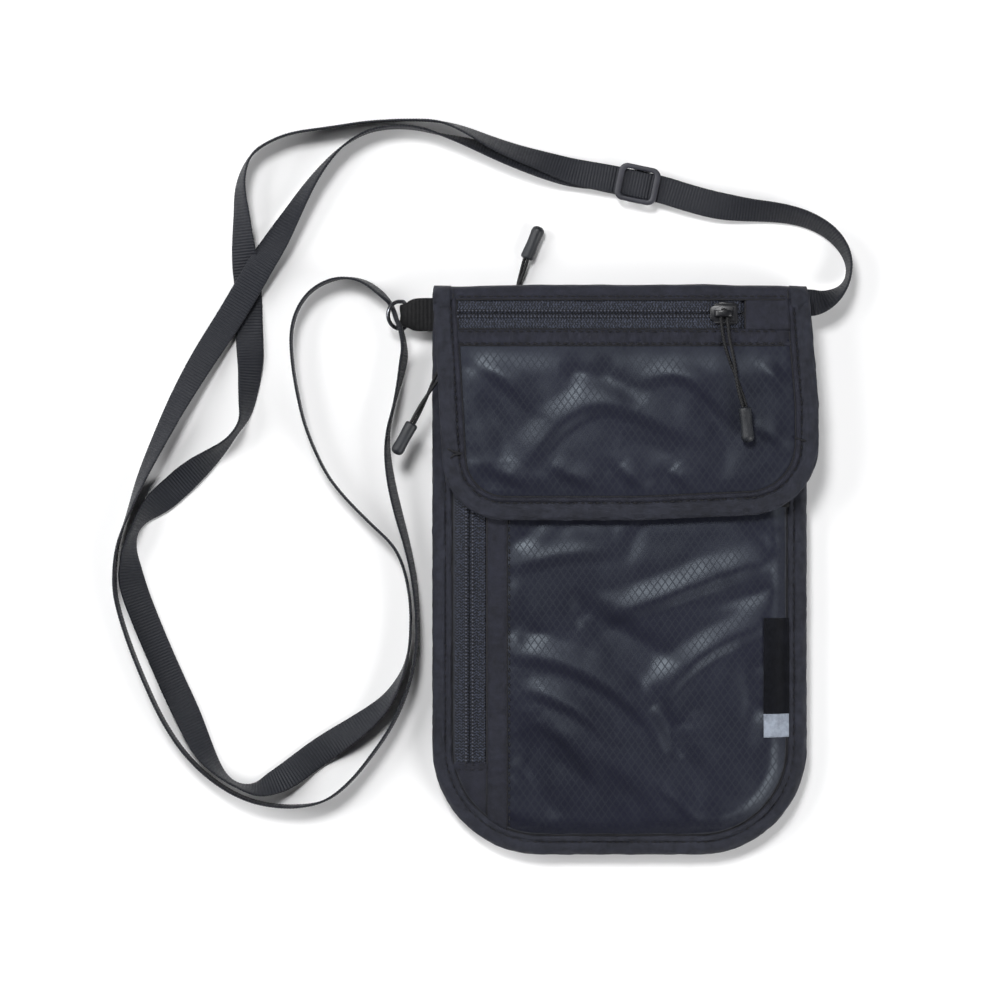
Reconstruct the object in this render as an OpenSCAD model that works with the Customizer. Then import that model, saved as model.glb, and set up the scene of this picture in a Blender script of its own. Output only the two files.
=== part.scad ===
// Neck pouch wallet lying on its back, flap closed, neck strap laid out beside it.
// +Z is up out of the front face, +Y towards the folded top edge. Millimetres.

/* [Pouch] */
// Width of the pouch body
pouch_w = 131.6; // [120:0.2:140]
// Height from the bottom edge to the top fold
pouch_h = 199.2; // [190:0.2:210]
// Radius of the two bottom corners
corner_r = 38; // [20:1:50]
// Width of the sewn edge binding
bind_w = 6; // [4:0.5:9]
// Level of the front fabric face
front_z = 12.3; // [12.3:0.1:13]
// Side wall fabric thickness
wall_t = 1.2; // [0.8:0.1:1.6]

/* [Flap] */
// Height of the flap's lower edge
flap_low_y = 17.8; // [10:0.2:30]
// Radius of the flap's lower corners
flap_r = 23; // [10:1:30]
// Underside level of the flap
flap_z = 14.8; // [14.8:0.1:16]
// Level of the fold line the flap turns about
fold_z = 8.9; // [8.5:0.1:9.5]

/* [Zips] */
// Width of one tape half
tape_w = 5.4; // [4:0.1:7]
// Slot between the tape halves
zip_slot = 1.2; // [1:0.1:2]
// Tape thickness
tape_t = 0.4; // [0.3:0.1:0.6]
// Coil height
coil_t = 0.6; // [0.4:0.1:1]
// Length of a slider plate
slider_l = 9.6; // [7:0.1:11]
// Width of a slider plate
slider_w = 8.4; // [6:0.1:10]
// Pull cord thickness
cord_d = 0.9; // [0.8:0.1:1.2]
// Diameter of the moulded cord end
end_d = 4.5; // [3:0.1:6]
// Length of the moulded cord end
end_l = 12.4; // [8:0.1:16]

/* [Strap and fittings] */
// Webbing width
strap_w = 9.6; // [8:0.1:12]
// Webbing thickness
strap_t = 0.9; // [0.7:0.1:1.2]
// Wire thickness of the D ring
ring_wire = 1.4; // [1:0.1:2]
// Depth of the D ring
ring_depth = 6.8; // [5:0.1:9]
// Adjuster length along the strap
glide_l = 14.4; // [12:0.1:18]
// Adjuster width across the strap
glide_w = 12.8; // [12:0.1:16]

/* [Hidden] */
$fn = 40;
half_w = pouch_w / 2;
top_y = 99.4;
low_y = top_y - pouch_h;
in_x = half_w - bind_w;
flap_top_z = flap_z + 2.6;
hem_y = 84.5;
step_y = 74;
strip_t = 0.6;

// body outline and flap outline, each corner as [x, y, radius]
body_pts = [[-half_w, top_y, 3], [-half_w, low_y, corner_r],
    [half_w, low_y, corner_r], [half_w, top_y, 3]];
flap_pts = [[-65.6, top_y, 3], [-61, flap_low_y, flap_r - 1], [7, flap_low_y, 40],
    [69.2, 20.6, flap_r + 2], [69.2, 58, 30], [half_w, top_y, 3]];

// zip lines: side zip runs along Y, the other two along X
side_zip_x = -52.7;
side_zip_low = -67.5;
flap_zip_y = 89.8;
flap_zip_l = -58.6;
flap_zip_r = 43.8;
back_zip_y = 80;
back_zip_x = 50;
side_tape_z = front_z - 0.6;
flap_tape_z = flap_z + 2.2;
back_tape_z = 2.7;

// slider stations
flap_slider_at = [36, flap_zip_y, flap_tape_z + tape_t];
side_slider_at = [side_zip_x, 76.5, side_tape_z + tape_t];
back_slider_at = [-40, back_zip_y, back_tape_z];

// pull cord centre lines from slider to cord end, in the pouch frame
flap_cord = [[36.2, 86.2, 19.2], [37, 80, 19.6], [39, 72, 20.4], [41, 64, 21.2], [43, 57.2, 21.6]];
side_cord = [[-56, 76.4, 13.9], [-60, 73.4, 13.9], [-64, 67.5, 13.7], [-68.2, 60, 13.2], [-72.6, 51.8, 12.7]];
back_cord = [[-39.8, 83.6, 0.9], [-38.5, 90, 0.9], [-36.5, 98, 1], [-34.5, 104, 1.7], [-32.8, 109.8, 2.4]];
flap_end_dir = [1.2, -12, 0];
side_end_dir = [-5.2, -9.4, 0];
back_end_dir = [4.6, 10.9, 0];

// adjuster: centre, and the turn of its long side
glide_at = [6.4, 136, 0];
glide_turn = -12;

// D ring pivot in the fold of its tab
ring_at = [-75.4, 89.8, 5.6];
ring_tilt = 30;

// neck strap route from the right seam: [x, y, z, roll, width]
lead_route = [
    [in_x, 94, 9.05, 0, strap_w], [66.3, 94, 9.05, 0, strap_w], [71, 94.5, 8.2, 35, strap_w],
    [76, 97, 7, 62, strap_w], [79.5, 100.5, 5.7, 82, strap_w], [81, 105, 5, 86, strap_w],
    [80.5, 110, 5, 80, strap_w], [78, 115, 4.9, 72, strap_w], [73, 120, 4.7, 65, strap_w],
    [65, 124, 4.6, 58, strap_w], [56, 126, 4.5, 50, strap_w], [45.5, 127, 4.4, 38, strap_w],
    [35, 128.5, 4.2, 25, strap_w], [24.5, 131.2, 4.1, 10, strap_w], [15.2, 134.1, 4.05, 0, strap_w],
    [6.4, 136, 4.05, 0, strap_w], [-2.4, 137.9, 4.05, 0, strap_w]];
first_route = [
    [-9.5, 139.2, 4.1, -5, strap_w], [-17.5, 141, 4.2, -20, strap_w], [-28, 144.5, 4.7, -42, strap_w],
    [-37, 147.5, 4.8, -52, strap_w], [-45.5, 151, 4.8, -62, strap_w], [-54, 155, 5, -74, strap_w],
    [-63, 158, 5, -85, strap_w], [-75, 158.6, 5, -85, strap_w], [-88.5, 157.9, 5, -85, strap_w],
    [-101.5, 156, 5, -85, strap_w], [-115, 154, 5, -85, strap_w], [-123, 151, 5, -85, strap_w],
    [-129, 147, 5, -85, strap_w], [-132, 141.5, 5, -78, strap_w], [-133.5, 134.5, 4.8, -66, strap_w],
    [-133, 125.5, 4.4, -52, strap_w], [-132.5, 115, 3.4, -32, strap_w], [-131.8, 107, 1.7, -10, strap_w],
    [-131, 100, 0.7, 0, strap_w], [-130.5, 82.5, 0.7, 0, strap_w], [-130, 72, 3, 28, strap_w],
    [-131, 60, 4.4, 55, strap_w], [-132, 53.5, 5, 75, strap_w], [-134.5, 49.5, 5, 85, strap_w],
    [-138, 45, 5, 78, strap_w], [-143, 40.5, 4.6, 58, strap_w], [-150, 35, 3, 28, strap_w],
    [-157.5, 28.5, 0.7, 0, strap_w], [-163.5, 23, 3.4, 35, strap_w], [-168, 18.5, 4.9, 68, strap_w],
    [-171, 13.5, 5, 80, strap_w], [-172.5, 7.5, 4.7, 66, strap_w], [-172.4, 2, 4, 46, strap_w],
    [-171.4, -6, 1.7, 12, strap_w], [-166, -20.5, 0.7, 0, strap_w], [-158, -39, 0.7, 0, strap_w],
    [-152, -51.5, 2.4, 20, strap_w], [-147.2, -61.8, 3.8, 42, strap_w], [-142.6, -68.8, 4.7, 68, strap_w],
    [-138, -73.6, 5, 86, strap_w], [-133, -76.2, 5, 86, strap_w], [-127.5, -77, 4.7, 65, strap_w],
    [-122.5, -75.2, 3.6, 38, strap_w], [-116.5, -72, 1.9, 14, strap_w], [-107, -65, 0.7, 0, strap_w],
    [-96, -57.5, 3, 27, strap_w], [-88.5, -52, 3.9, 45, strap_w], [-82.5, -46.5, 4.7, 62, strap_w],
    [-78.5, -40.5, 5, 76, strap_w], [-75.5, -34, 5, 86, strap_w], [-73.8, -26, 5, 90, strap_w],
    [-73.4, -18, 5, 90, strap_w], [-73.8, -9.5, 5, 90, strap_w], [-75.8, 0.5, 5, 90, strap_w],
    [-79.5, 8.5, 5, 90, strap_w], [-86.5, 15.5, 5, 90, strap_w], [-95, 24, 5, 90, strap_w],
    [-102, 32.5, 5, 90, strap_w], [-107, 42, 5, 90, strap_w], [-111, 52.5, 5, 90, strap_w],
    [-113.5, 63.5, 5, 90, strap_w], [-115, 73, 5, 90, strap_w], [-115.5, 83, 5, 90, strap_w],
    [-113.5, 91.5, 5, 90, strap_w], [-108.5, 98.5, 5, 90, strap_w], [-101, 102.5, 5, 90, strap_w],
    [-94.5, 103, 5, 86, strap_w], [-89, 101.4, 5, 82, strap_w], [-84.8, 98.2, 5, 78, strap_w]];
// drawn together where it passes through the D ring
ring_route = [
    [-82, 95.8, 4.5, 80, 7.2], [-79.9, 93, 3.4, 88, 5], [-78.6, 88.9, 7.6, 86, 4.3],
    [-78.2, 87.9, 11.4, 88, 4.3], [-76.8, 85, 10.8, 84, 4.6], [-75.9, 80.8, 9.2, 82, 6.2],
    [-75.6, 77.4, 6.6, 80, 8.4]];
second_route = [
    [-75.9, 74, 5, 76, strap_w], [-77.5, 66, 5, 84, strap_w], [-79.5, 57.5, 5, 90, strap_w],
    [-81.5, 48.5, 5, 86, strap_w], [-81.5, 39.5, 5, 80, strap_w], [-80, 29.5, 5, 76, strap_w],
    [-77.5, 19, 5, 76, strap_w], [-74.5, 8, 5, 80, strap_w], [-72.3, -3, 5, 82, strap_w],
    [-71.2, -14.5, 5, 85, strap_w], [-71.2, -26, 5, 86, strap_w], [-73, -37, 5, 90, strap_w],
    [-76.5, -47, 5, 86, strap_w], [-81, -56, 5, 86, strap_w], [-87.5, -65.5, 5, 86, strap_w],
    [-95, -74.5, 5, 86, strap_w], [-103.5, -81, 5, 86, strap_w], [-113.5, -83, 5, 90, strap_w],
    [-123, -82.5, 5, 90, strap_w], [-131, -80.5, 5, 90, strap_w], [-139.5, -76.2, 5, 90, strap_w],
    [-148, -69.5, 5, 90, strap_w], [-155, -61.5, 5, 90, strap_w], [-161, -52, 5, 90, strap_w],
    [-166, -41.5, 5, 90, strap_w], [-171, -29.5, 5, 90, strap_w], [-175, -18, 5, 90, strap_w],
    [-177.5, -7.5, 5, 90, strap_w], [-177.5, 2, 5, 90, strap_w], [-176, 11, 5, 88, strap_w],
    [-172.5, 21, 5, 80, strap_w], [-168, 33, 4.7, 66, strap_w], [-161.5, 47, 4.4, 52, strap_w],
    [-155, 60, 3.6, 38, strap_w], [-147, 74, 2.6, 20, strap_w], [-138, 88, 2.4, 5, strap_w],
    [-131, 99.5, 3.4, 2, strap_w], [-126, 108, 4.4, 8, strap_w], [-120.5, 116.5, 4.8, 25, strap_w],
    [-115.5, 125, 4.6, 46, strap_w], [-109.5, 135, 4.7, 64, strap_w], [-104, 142.5, 5, 76, strap_w],
    [-97.5, 149.3, 5, 84, strap_w], [-89, 154.4, 5, 88, strap_w], [-79.5, 156.2, 5, 90, strap_w],
    [-70.5, 155.6, 5, 90, strap_w], [-62.5, 153.4, 5, 84, strap_w], [-54, 151, 4.9, 70, strap_w],
    [-45.5, 148, 4.7, 58, strap_w], [-37, 145, 4.3, 48, strap_w], [-28, 142.3, 3.6, 36, strap_w],
    [-17.5, 140.4, 2.7, 14, strap_w], [-10.4, 139.6, 2.25, 0, strap_w]];

// Piece to show

// ---- outline helpers ----
function unit(v) = v / norm(v);
function left_of(v) = [-v[1], v[0]];
function meet(p, u, q, v) = p + u * ((v[0] * (q[1] - p[1]) - v[1] * (q[0] - p[0]))
    / (v[0] * u[1] - v[1] * u[0]));
function at(p, i) = [p[i % len(p)][0], p[i % len(p)][1]];

// counter-clockwise outline with every side moved in by d
function shrunk(p, d) = [for (i = [0 : len(p) - 1])
    let (a = at(p, i + len(p) - 1), b = at(p, i), c = at(p, i + 1),
        u = unit(b - a), v = unit(c - b),
        m = meet(a + left_of(u) * d, u, b + left_of(v) * d, v))
    [m[0], m[1], max(p[i][2] - d, 0.5)]];

// corner points with their radii turned into arcs
function rounded(p) = [for (i = [0 : len(p) - 1])
    let (a = at(p, i + len(p) - 1), b = at(p, i), c = at(p, i + 1),
        u = unit(a - b), v = unit(c - b), half = acos(u * v) / 2,
        r = p[i][2], mid = b + unit(u + v) * r / sin(half),
        s = atan2(-left_of(u)[1], -left_of(u)[0]), n = max(2, ceil(r / 3)),
        start = b + u * r / tan(half) - mid, turn = 180 - 2 * half,
        base = atan2(start[1], start[0]))
    for (k = [0 : n]) mid + r * [cos(base + turn * k / n), sin(base + turn * k / n)]];

module outline(p, d) {
    polygon(rounded(shrunk(p, d)));
}

module plate(p, d, z0, z1) {
    translate([0, 0, z0])
        linear_extrude(z1 - z0)
            outline(p, d);
}

module box(a, b) {
    translate(a)
        cube(b - a);
}

// part of an outline plate inside the window [x0, y0, x1, y1]
module cut_plate(p, d, z0, z1, w) {
    intersection() {
        plate(p, d, z0, z1);
        box([w[0], w[1], z0 - 1], [w[2], w[3], z1 + 1]);
    }
}

// ---- swept strips ----
function blend4(a, b, c, d, t) = 0.5 * (2 * b + (c - a) * t + (2 * a - 5 * b + 4 * c - d) * t * t
    + (3 * b - a - 3 * c + d) * t * t * t);
function smooth(p, n) = concat([for (i = [0 : len(p) - 2]) for (k = [0 : n - 1])
    blend4(p[max(i - 1, 0)], p[i], p[i + 1], p[min(i + 2, len(p) - 1)], k / n)], [p[len(p) - 1]]);
function flat(v) = unit([v[0], v[1], 0]);
function heading(p, i) = flat([for (k = [0 : 2])
    p[min(i + 1, len(p) - 1)][k] - p[max(i - 1, 0)][k]]);
function side(t) = [-t[1], t[0], 0];

function strip_ring(q, t) = let (c = [q[0], q[1], q[2]], b = side(t), up = [0, 0, 1],
    n = cos(q[3]) * up + sin(q[3]) * b, w = cos(q[3]) * b - sin(q[3]) * up,
    h = (strap_t + (strap_w - q[4]) * 0.2) / 2, e = q[4] / 2)
    [c - w * e - n * h, c + w * e - n * h, c + w * e + n * h, c - w * e + n * h];

function cord_ring(q, t, r) = [for (k = [0 : 7]) [q[0], q[1], q[2]]
    + r * cos(45 * k) * side(t) + r * sin(45 * k) * [0, 0, 1]];

module skin(rings) {
    m = len(rings[0]);
    last = len(rings) - 1;
    polyhedron(
        points = [for (r = rings) for (v = r) v],
        faces = concat([[for (k = [0 : m - 1]) k]],
            [for (i = [0 : last - 1]) for (k = [0 : m - 1])
                [i * m + (k + 1) % m, i * m + k, (i + 1) * m + k]],
            [for (i = [0 : last - 1]) for (k = [0 : m - 1])
                [i * m + (k + 1) % m, (i + 1) * m + k, (i + 1) * m + (k + 1) % m]],
            [[for (k = [m - 1 : -1 : 0]) last * m + k]]));
}

module webbing(p, n) {
    q = smooth(p, n);
    skin([for (i = [0 : len(q) - 1]) strip_ring(q[i], heading(q, i))]);
}

module cord(p, r) {
    skin([for (i = [0 : len(p) - 1]) cord_ring(p[i], heading(p, i), r)]);
}

// ---- zip parts, drawn along local X with the outer tape face at z = 0 ----
module slider() {
    nose = slider_w / 2 - 1.6;
    difference() {
        union() {
            translate([0, 0, 0.3])
                linear_extrude(0.7)
                    polygon([[-slider_l / 2, -nose], [-1, -slider_w / 2], [slider_l / 2, -slider_w / 2 + 0.6],
                        [slider_l / 2, slider_w / 2 - 0.6], [-1, slider_w / 2], [-slider_l / 2, nose]]);
            translate([0, 0, 1])
                cylinder(h = 1, r = 0.6);
            box([-2.3, -1.2, 2], [2.3, 1.2, 2.4]);
            box([-4.3, -0.3, -1.3], [-2.5, 0.3, 0.3]);
            box([-4.6, -3.2, -1.8], [4.2, 3.2, -1.3]);
        }
        translate([3.4, 0, 0.2])
            cylinder(h = 0.9, r = 0.6);
    }
}

module pull_loop() {
    r = cord_d / 2;
    arc = [for (k = [0 : 6]) [-1.1 * cos(30 * k), 0.2 + 1.3 * sin(30 * k), 1.5]];
    cord(concat([[-1.1, -2.2, 1.5], [-1.1, -0.8, 1.5]], arc, [[1.1, -0.8, 1.5], [1.1, -2.2, 1.5]]), r);
}

// two strands closing up from the loop to the cord end
module strands(p) {
    q = smooth(p, 2);
    last = len(q) - 1;
    for (s = [-1, 1])
        cord([for (i = [0 : last]) q[i] + s * (1.1 - 0.5 * i / last) * side(heading(q, i))], cord_d / 2);
}

module cord_end(p, dir) {
    a = atan2(dir[1], dir[0]);
    translate(p[len(p) - 1])
        rotate([0, 0, a])
            rotate([0, 90, 0])
                rotate_extrude()
                    polygon(concat([[0, 0.1], [end_d / 2 - 0.6, 0.1], [end_d / 2, 1]],
                        [for (k = [0 : 5]) [end_d / 2 - 1.6 + 1.6 * cos(18 * k),
                            end_l - 1.6 + 1.6 * sin(18 * k)]], [[0, end_l]]));
}

module long_zip_tape(x0, x1, yc, z0, s) {
    lo = s > 0 ? yc + zip_slot / 2 : yc - zip_slot / 2 - tape_w;
    box([x0, lo, z0], [x1, lo + tape_w, z0 + tape_t]);
}

module long_zip_coil(x0, x1, yc, z0, s) {
    lo = s > 0 ? yc + zip_slot / 2 : yc - zip_slot / 2 - 1.4;
    box([x0, lo, z0], [x1, lo + 1.4, z0 + coil_t]);
}

// ---- pouch body ----
module back_panel() {
    color("#262a33")
        cut_plate(body_pts, 3, 0, 1.2, [-200, -200, 200, step_y - wall_t]);
}

module back_step() {
    color("#262a33")
        box([-in_x + wall_t, step_y - wall_t, 0], [in_x - wall_t, step_y, back_tape_z + tape_t]);
}

module back_band() {
    color("#262a33")
        difference() {
            box([-in_x + wall_t, step_y, back_tape_z], [in_x - wall_t, top_y - wall_t, back_tape_z + strip_t]);
            box([-back_zip_x, step_y - 1, 0], [back_zip_x, back_zip_y + zip_slot / 2 + tape_w, 9]);
        }
}

module spine_low() {
    color("#262a33")
        box([-in_x + 0.8, top_y - wall_t, back_tape_z], [in_x - 0.8, top_y, fold_z - 1.6]);
}

module back_tape_low() {
    color("#333a48")
        long_zip_tape(-back_zip_x, back_zip_x, back_zip_y, back_tape_z, -1);
}

module back_tape_up() {
    color("#333a48")
        long_zip_tape(-back_zip_x, back_zip_x, back_zip_y, back_tape_z, 1);
}

module back_coil_low() {
    color("#2c3140")
        long_zip_coil(-back_zip_x, back_zip_x, back_zip_y, back_tape_z + tape_t, -1);
}

module back_coil_up() {
    color("#2c3140")
        long_zip_coil(-back_zip_x, back_zip_x, back_zip_y, back_tape_z + tape_t, 1);
}

module back_stops() {
    color("#1f2228")
        for (x = [-back_zip_x, back_zip_x - 1.6])
            box([x, back_zip_y - 2, back_tape_z + tape_t + coil_t],
                [x + 1.6, back_zip_y + 2, back_tape_z + tape_t + coil_t + 0.4]);
}

module back_divider() {
    color("#2a2d33")
        cut_plate(body_pts, bind_w + wall_t, 4.8, 5.2, [-200, -200, 200, top_y - wall_t]);
}

// wall all round the inside of the binding, open along the top
module side_wall() {
    color("#262a33")
        difference() {
            union() {
                cut_plate(body_pts, bind_w, 1.2, 9.6, [-200, -200, 200, step_y]);
                cut_plate(body_pts, bind_w, back_tape_z, 9.6, [-200, step_y, 200, top_y - bind_w]);
                cut_plate(body_pts, bind_w, 9.6, side_tape_z, [-200, -200, 200, hem_y]);
            }
            difference() {
                plate(body_pts, bind_w + wall_t, 1, 13);
                box([-200, top_y - bind_w - wall_t - 0.1, 0], [200, 200, 1]);
            }
            box([-in_x + wall_t, 60, 1], [in_x - wall_t, 200, 13]);
        }
}

module inner_front() {
    color("#2a2d33")
        cut_plate(body_pts, bind_w + wall_t, 9.6, 10, [-200, -200, 200, hem_y]);
}

module pocket_hem() {
    color("#23272f")
        box([-in_x + wall_t, hem_y - wall_t, 10], [in_x - wall_t, hem_y, side_tape_z]);
}

module front_panel() {
    color("#2b303c")
        cut_plate(body_pts, bind_w, side_tape_z, front_z, [-39.6, -200, 200, hem_y]);
}

module side_placket() {
    color("#262a33")
        cut_plate(body_pts, bind_w, side_tape_z, front_z + 0.4, [-46.7, -200, -39.6, hem_y]);
}

module side_plain() {
    color("#262a33")
        cut_plate(body_pts, bind_w, side_tape_z, front_z, [-200, -200, -46.7, side_zip_low]);
}

module side_tape_in() {
    color("#333a48")
        box([side_zip_x + zip_slot / 2, side_zip_low, side_tape_z], [-46.7, hem_y, side_tape_z + tape_t]);
}

module side_tape_out() {
    color("#333a48")
        box([-in_x, side_zip_low, side_tape_z], [side_zip_x - zip_slot / 2, hem_y, side_tape_z + tape_t]);
}

module side_coil(s) {
    lo = s > 0 ? side_zip_x + zip_slot / 2 : side_zip_x - zip_slot / 2 - 1.4;
    box([lo, side_zip_low, side_tape_z - coil_t], [lo + 1.4, hem_y - wall_t, side_tape_z]);
}

module side_coil_in() {
    color("#2c3140")
        side_coil(1);
}

module side_coil_out() {
    color("#2c3140")
        side_coil(-1);
}

module side_stops() {
    color("#1f2228")
        for (y = [side_zip_low, hem_y - wall_t - 1.2])
            box([side_zip_x - 2, y, side_tape_z - coil_t - 0.4],
                [side_zip_x + 2, y + 1.2, side_tape_z - coil_t]);
}

module body_binding() {
    color("#1f232b")
        difference() {
            plate(body_pts, 0, 3.6, 8.6);
            plate(body_pts, bind_w, 3, 9);
            box([-in_x, 50, 3], [in_x, 200, 9]);
        }
}

module hook_tape() {
    color("#15161a")
        box([-39, 22.4, front_z], [59, 30, front_z + 1]);
}

module label_tab() {
    color("#15171c")
        box([50.2, -50, front_z], [59.4, -16.5, front_z + 0.7]);
}

module label_square() {
    color("#7d8189")
        box([50.2, -58.2, front_z], [59.4, -50, front_z + 0.7]);
}

// folded webbing holding the ring, open through the fold along Y
module ring_tab() {
    color("#17191e")
        difference() {
            union() {
                box([-76.6, 85.7, 3.9], [-74, 93.7, 7.3]);
                box([-74.2, 84.2, 3.7], [-half_w, 95.8, 7.5]);
            }
            translate([ring_at[0], 80, ring_at[2]])
                rotate([-90, 0, 0])
                    cylinder(h = 20, r = ring_wire / 2 + 0.3);
            box([ring_at[0], 80, ring_at[2] - 0.3], [-half_w - 1, 100, ring_at[2] + 0.3]);
        }
}

module neck_strap() {
    color("#17191f")
        webbing(concat(lead_route, first_route, ring_route, second_route), 1);
}

// ---- flap ----
module flap_band() {
    color("#262a33")
        cut_plate(flap_pts, 0, flap_tape_z - 0.2, flap_top_z, [-59, 95.8, 59, 200]);
}

module flap_spine() {
    color("#262a33")
        box([-59, top_y - wall_t, fold_z + 1], [59, top_y, flap_tape_z - 0.2]);
}

module flap_panel() {
    color("#2b303c")
        cut_plate(flap_pts, bind_w, flap_tape_z - 0.2, flap_top_z, [-200, -200, 200, 79]);
}

module flap_strip_low() {
    color("#262a33")
        cut_plate(flap_pts, bind_w, flap_tape_z - 0.2, flap_top_z + 0.2,
            [-200, 79, 200, flap_zip_y - zip_slot / 2 - tape_w]);
}

module flap_strip_right() {
    color("#262a33")
        union() {
            cut_plate(flap_pts, bind_w, flap_tape_z - 0.2, flap_top_z + 0.2,
                [flap_zip_r, flap_zip_y - zip_slot / 2 - tape_w, 200, top_y - bind_w]);
            box([flap_zip_r, top_y - bind_w, flap_tape_z - 0.2], [59, 95.8, flap_top_z + 0.2]);
        }
}

module flap_binding() {
    color("#1f232b")
        difference() {
            plate(flap_pts, 0, flap_z, flap_top_z);
            plate(flap_pts, bind_w, 10, 20);
            box([-59, 79, 10], [59, 200, 20]);
        }
}

module flap_lining() {
    color("#2a2d33")
        union() {
            cut_plate(flap_pts, bind_w, flap_z, flap_z + 0.5, [-200, -200, 200, 80]);
            box([-59, 80, flap_z], [59, top_y - wall_t, flap_z + 0.5]);
        }
}

module flap_tape_low() {
    color("#333a48")
        long_zip_tape(flap_zip_l, flap_zip_r, flap_zip_y, flap_tape_z, -1);
}

module flap_tape_up() {
    color("#333a48")
        long_zip_tape(flap_zip_l, flap_zip_r, flap_zip_y, flap_tape_z, 1);
}

module flap_coil_low() {
    color("#2c3140")
        long_zip_coil(flap_zip_l, flap_zip_r, flap_zip_y, flap_tape_z - coil_t, -1);
}

module flap_coil_up() {
    color("#2c3140")
        long_zip_coil(flap_zip_l, flap_zip_r, flap_zip_y, flap_tape_z - coil_t, 1);
}

module flap_stops() {
    color("#1f2228")
        for (x = [flap_zip_l, flap_zip_r - 1.6])
            box([x, flap_zip_y - 2, flap_tape_z - coil_t - 0.4],
                [x + 1.6, flap_zip_y + 2, flap_tape_z - coil_t]);
}

module loop_tape() {
    color("#15161a")
        box([-39, 22.4, flap_z - 1.1], [59, 30, flap_z]);
}

// ---- sliders and pulls ----
module flap_slider() {
    color("#3a3d44")
        translate(flap_slider_at)
            slider();
}

module flap_pull_loop() {
    color("#101114")
        translate(flap_slider_at)
            pull_loop();
}

module flap_pull_cord() {
    color("#101114")
        strands(flap_cord);
}

module flap_cord_end() {
    color("#2b2d31")
        cord_end(flap_cord, flap_end_dir);
}

module side_slider() {
    color("#3a3d44")
        translate(side_slider_at)
            rotate([0, 0, -90])
                slider();
}

module side_pull_loop() {
    color("#101114")
        translate(side_slider_at)
            rotate([0, 0, -90])
                pull_loop();
}

module side_pull_cord() {
    color("#101114")
        strands(side_cord);
}

module side_cord_end() {
    color("#2b2d31")
        cord_end(side_cord, side_end_dir);
}

module back_slider() {
    color("#3a3d44")
        translate(back_slider_at)
            rotate([180, 0, 0])
                slider();
}

module back_pull_loop() {
    color("#101114")
        translate(back_slider_at)
            rotate([180, 0, 0])
                pull_loop();
}

module back_pull_cord() {
    color("#101114")
        strands(back_cord);
}

module back_cord_end() {
    color("#2b2d31")
        cord_end(back_cord, back_end_dir);
}

// ---- ring and adjuster ----
module d_ring() {
    r = ring_wire / 2;
    arc_r = 4.8;
    leg = ring_depth - arc_r;
    color("#4a4c50")
        translate(ring_at)
            rotate([0, ring_tilt, 0])
                union() {
                    translate([0, -arc_r, 0])
                        rotate([-90, 0, 0])
                            cylinder(h = 2 * arc_r, r = r);
                    for (s = [-1, 1]) {
                        translate([0, s * arc_r, 0])
                            sphere(r);
                        translate([-leg, s * arc_r, 0])
                            rotate([0, 90, 0])
                                cylinder(h = leg, r = r);
                    }
                    translate([-leg, 0, 0])
                        rotate([0, 0, 90])
                            rotate_extrude(angle = 180)
                                translate([arc_r, 0])
                                    circle(r);
                }
}

// outer bars ride over the strap, the middle bar lies under it
module tri_glide() {
    l = glide_l / 2;
    w = glide_w / 2;
    color("#34353f")
        translate(glide_at)
            rotate([0, 0, glide_turn])
                union() {
                    difference() {
                        translate([0, 0, 4.8])
                            linear_extrude(1.4)
                                polygon(rounded([[-l, w, 1.6], [-l, -w, 1.6], [l, -w, 1.6], [l, w, 1.6]]));
                        box([-l + 1.6, -w + 1.3, 4], [l - 1.6, w - 1.3, 7]);
                    }
                    for (s = [-1, 1])
                        box([-2.6, s * (w - 0.65) - 0.65, 1.2], [2.6, s * (w - 0.65) + 0.65, 4.8]);
                    box([-1.2, -w + 1.3, 1.2], [1.2, w - 1.3, 2.4]);
                }
}

// strap end wrapped round the middle bar and sewn back on itself
module strap_end() {
    color("#17191f")
        translate(glide_at)
            rotate([0, 0, glide_turn])
                rotate([90, 0, 0])
                    translate([0, 0, -strap_w / 2])
                        linear_extrude(strap_w)
                            difference() {
                                polygon([[-16, 0.9], [-7, 0.9], [-3, 0.3], [1.6, 0.3], [2.3, 0.9],
                                    [2.3, 2.7], [1.6, 3.3], [-3, 3.3], [-7, 2.7], [-16, 2.7]]);
                                polygon([[-5, 1.7], [-2.4, 1.2], [1.2, 1.2], [1.2, 2.4], [-2.4, 2.4],
                                    [-5, 1.9]]);
                            }
}

back_panel();
back_step();
back_band();
spine_low();
back_tape_low();
back_tape_up();
back_coil_low();
back_coil_up();
back_stops();
back_divider();
side_wall();
inner_front();
pocket_hem();
front_panel();
side_placket();
side_plain();
side_tape_in();
side_tape_out();
side_coil_in();
side_coil_out();
side_stops();
body_binding();
hook_tape();
label_tab();
label_square();
ring_tab();
neck_strap();
flap_band();
flap_spine();
flap_panel();
flap_strip_low();
flap_strip_right();
flap_binding();
flap_lining();
flap_tape_low();
flap_tape_up();
flap_coil_low();
flap_coil_up();
flap_stops();
loop_tape();
flap_slider();
flap_pull_loop();
flap_pull_cord();
flap_cord_end();
side_slider();
side_pull_loop();
side_pull_cord();
side_cord_end();
back_slider();
back_pull_loop();
back_pull_cord();
back_cord_end();
d_ring();
tri_glide();
strap_end();
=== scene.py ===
"""Neck pouch wallet: fabric, zips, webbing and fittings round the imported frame, in mm until make()."""
import math

import bpy
import numpy as np
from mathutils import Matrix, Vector, geometry, noise


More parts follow.
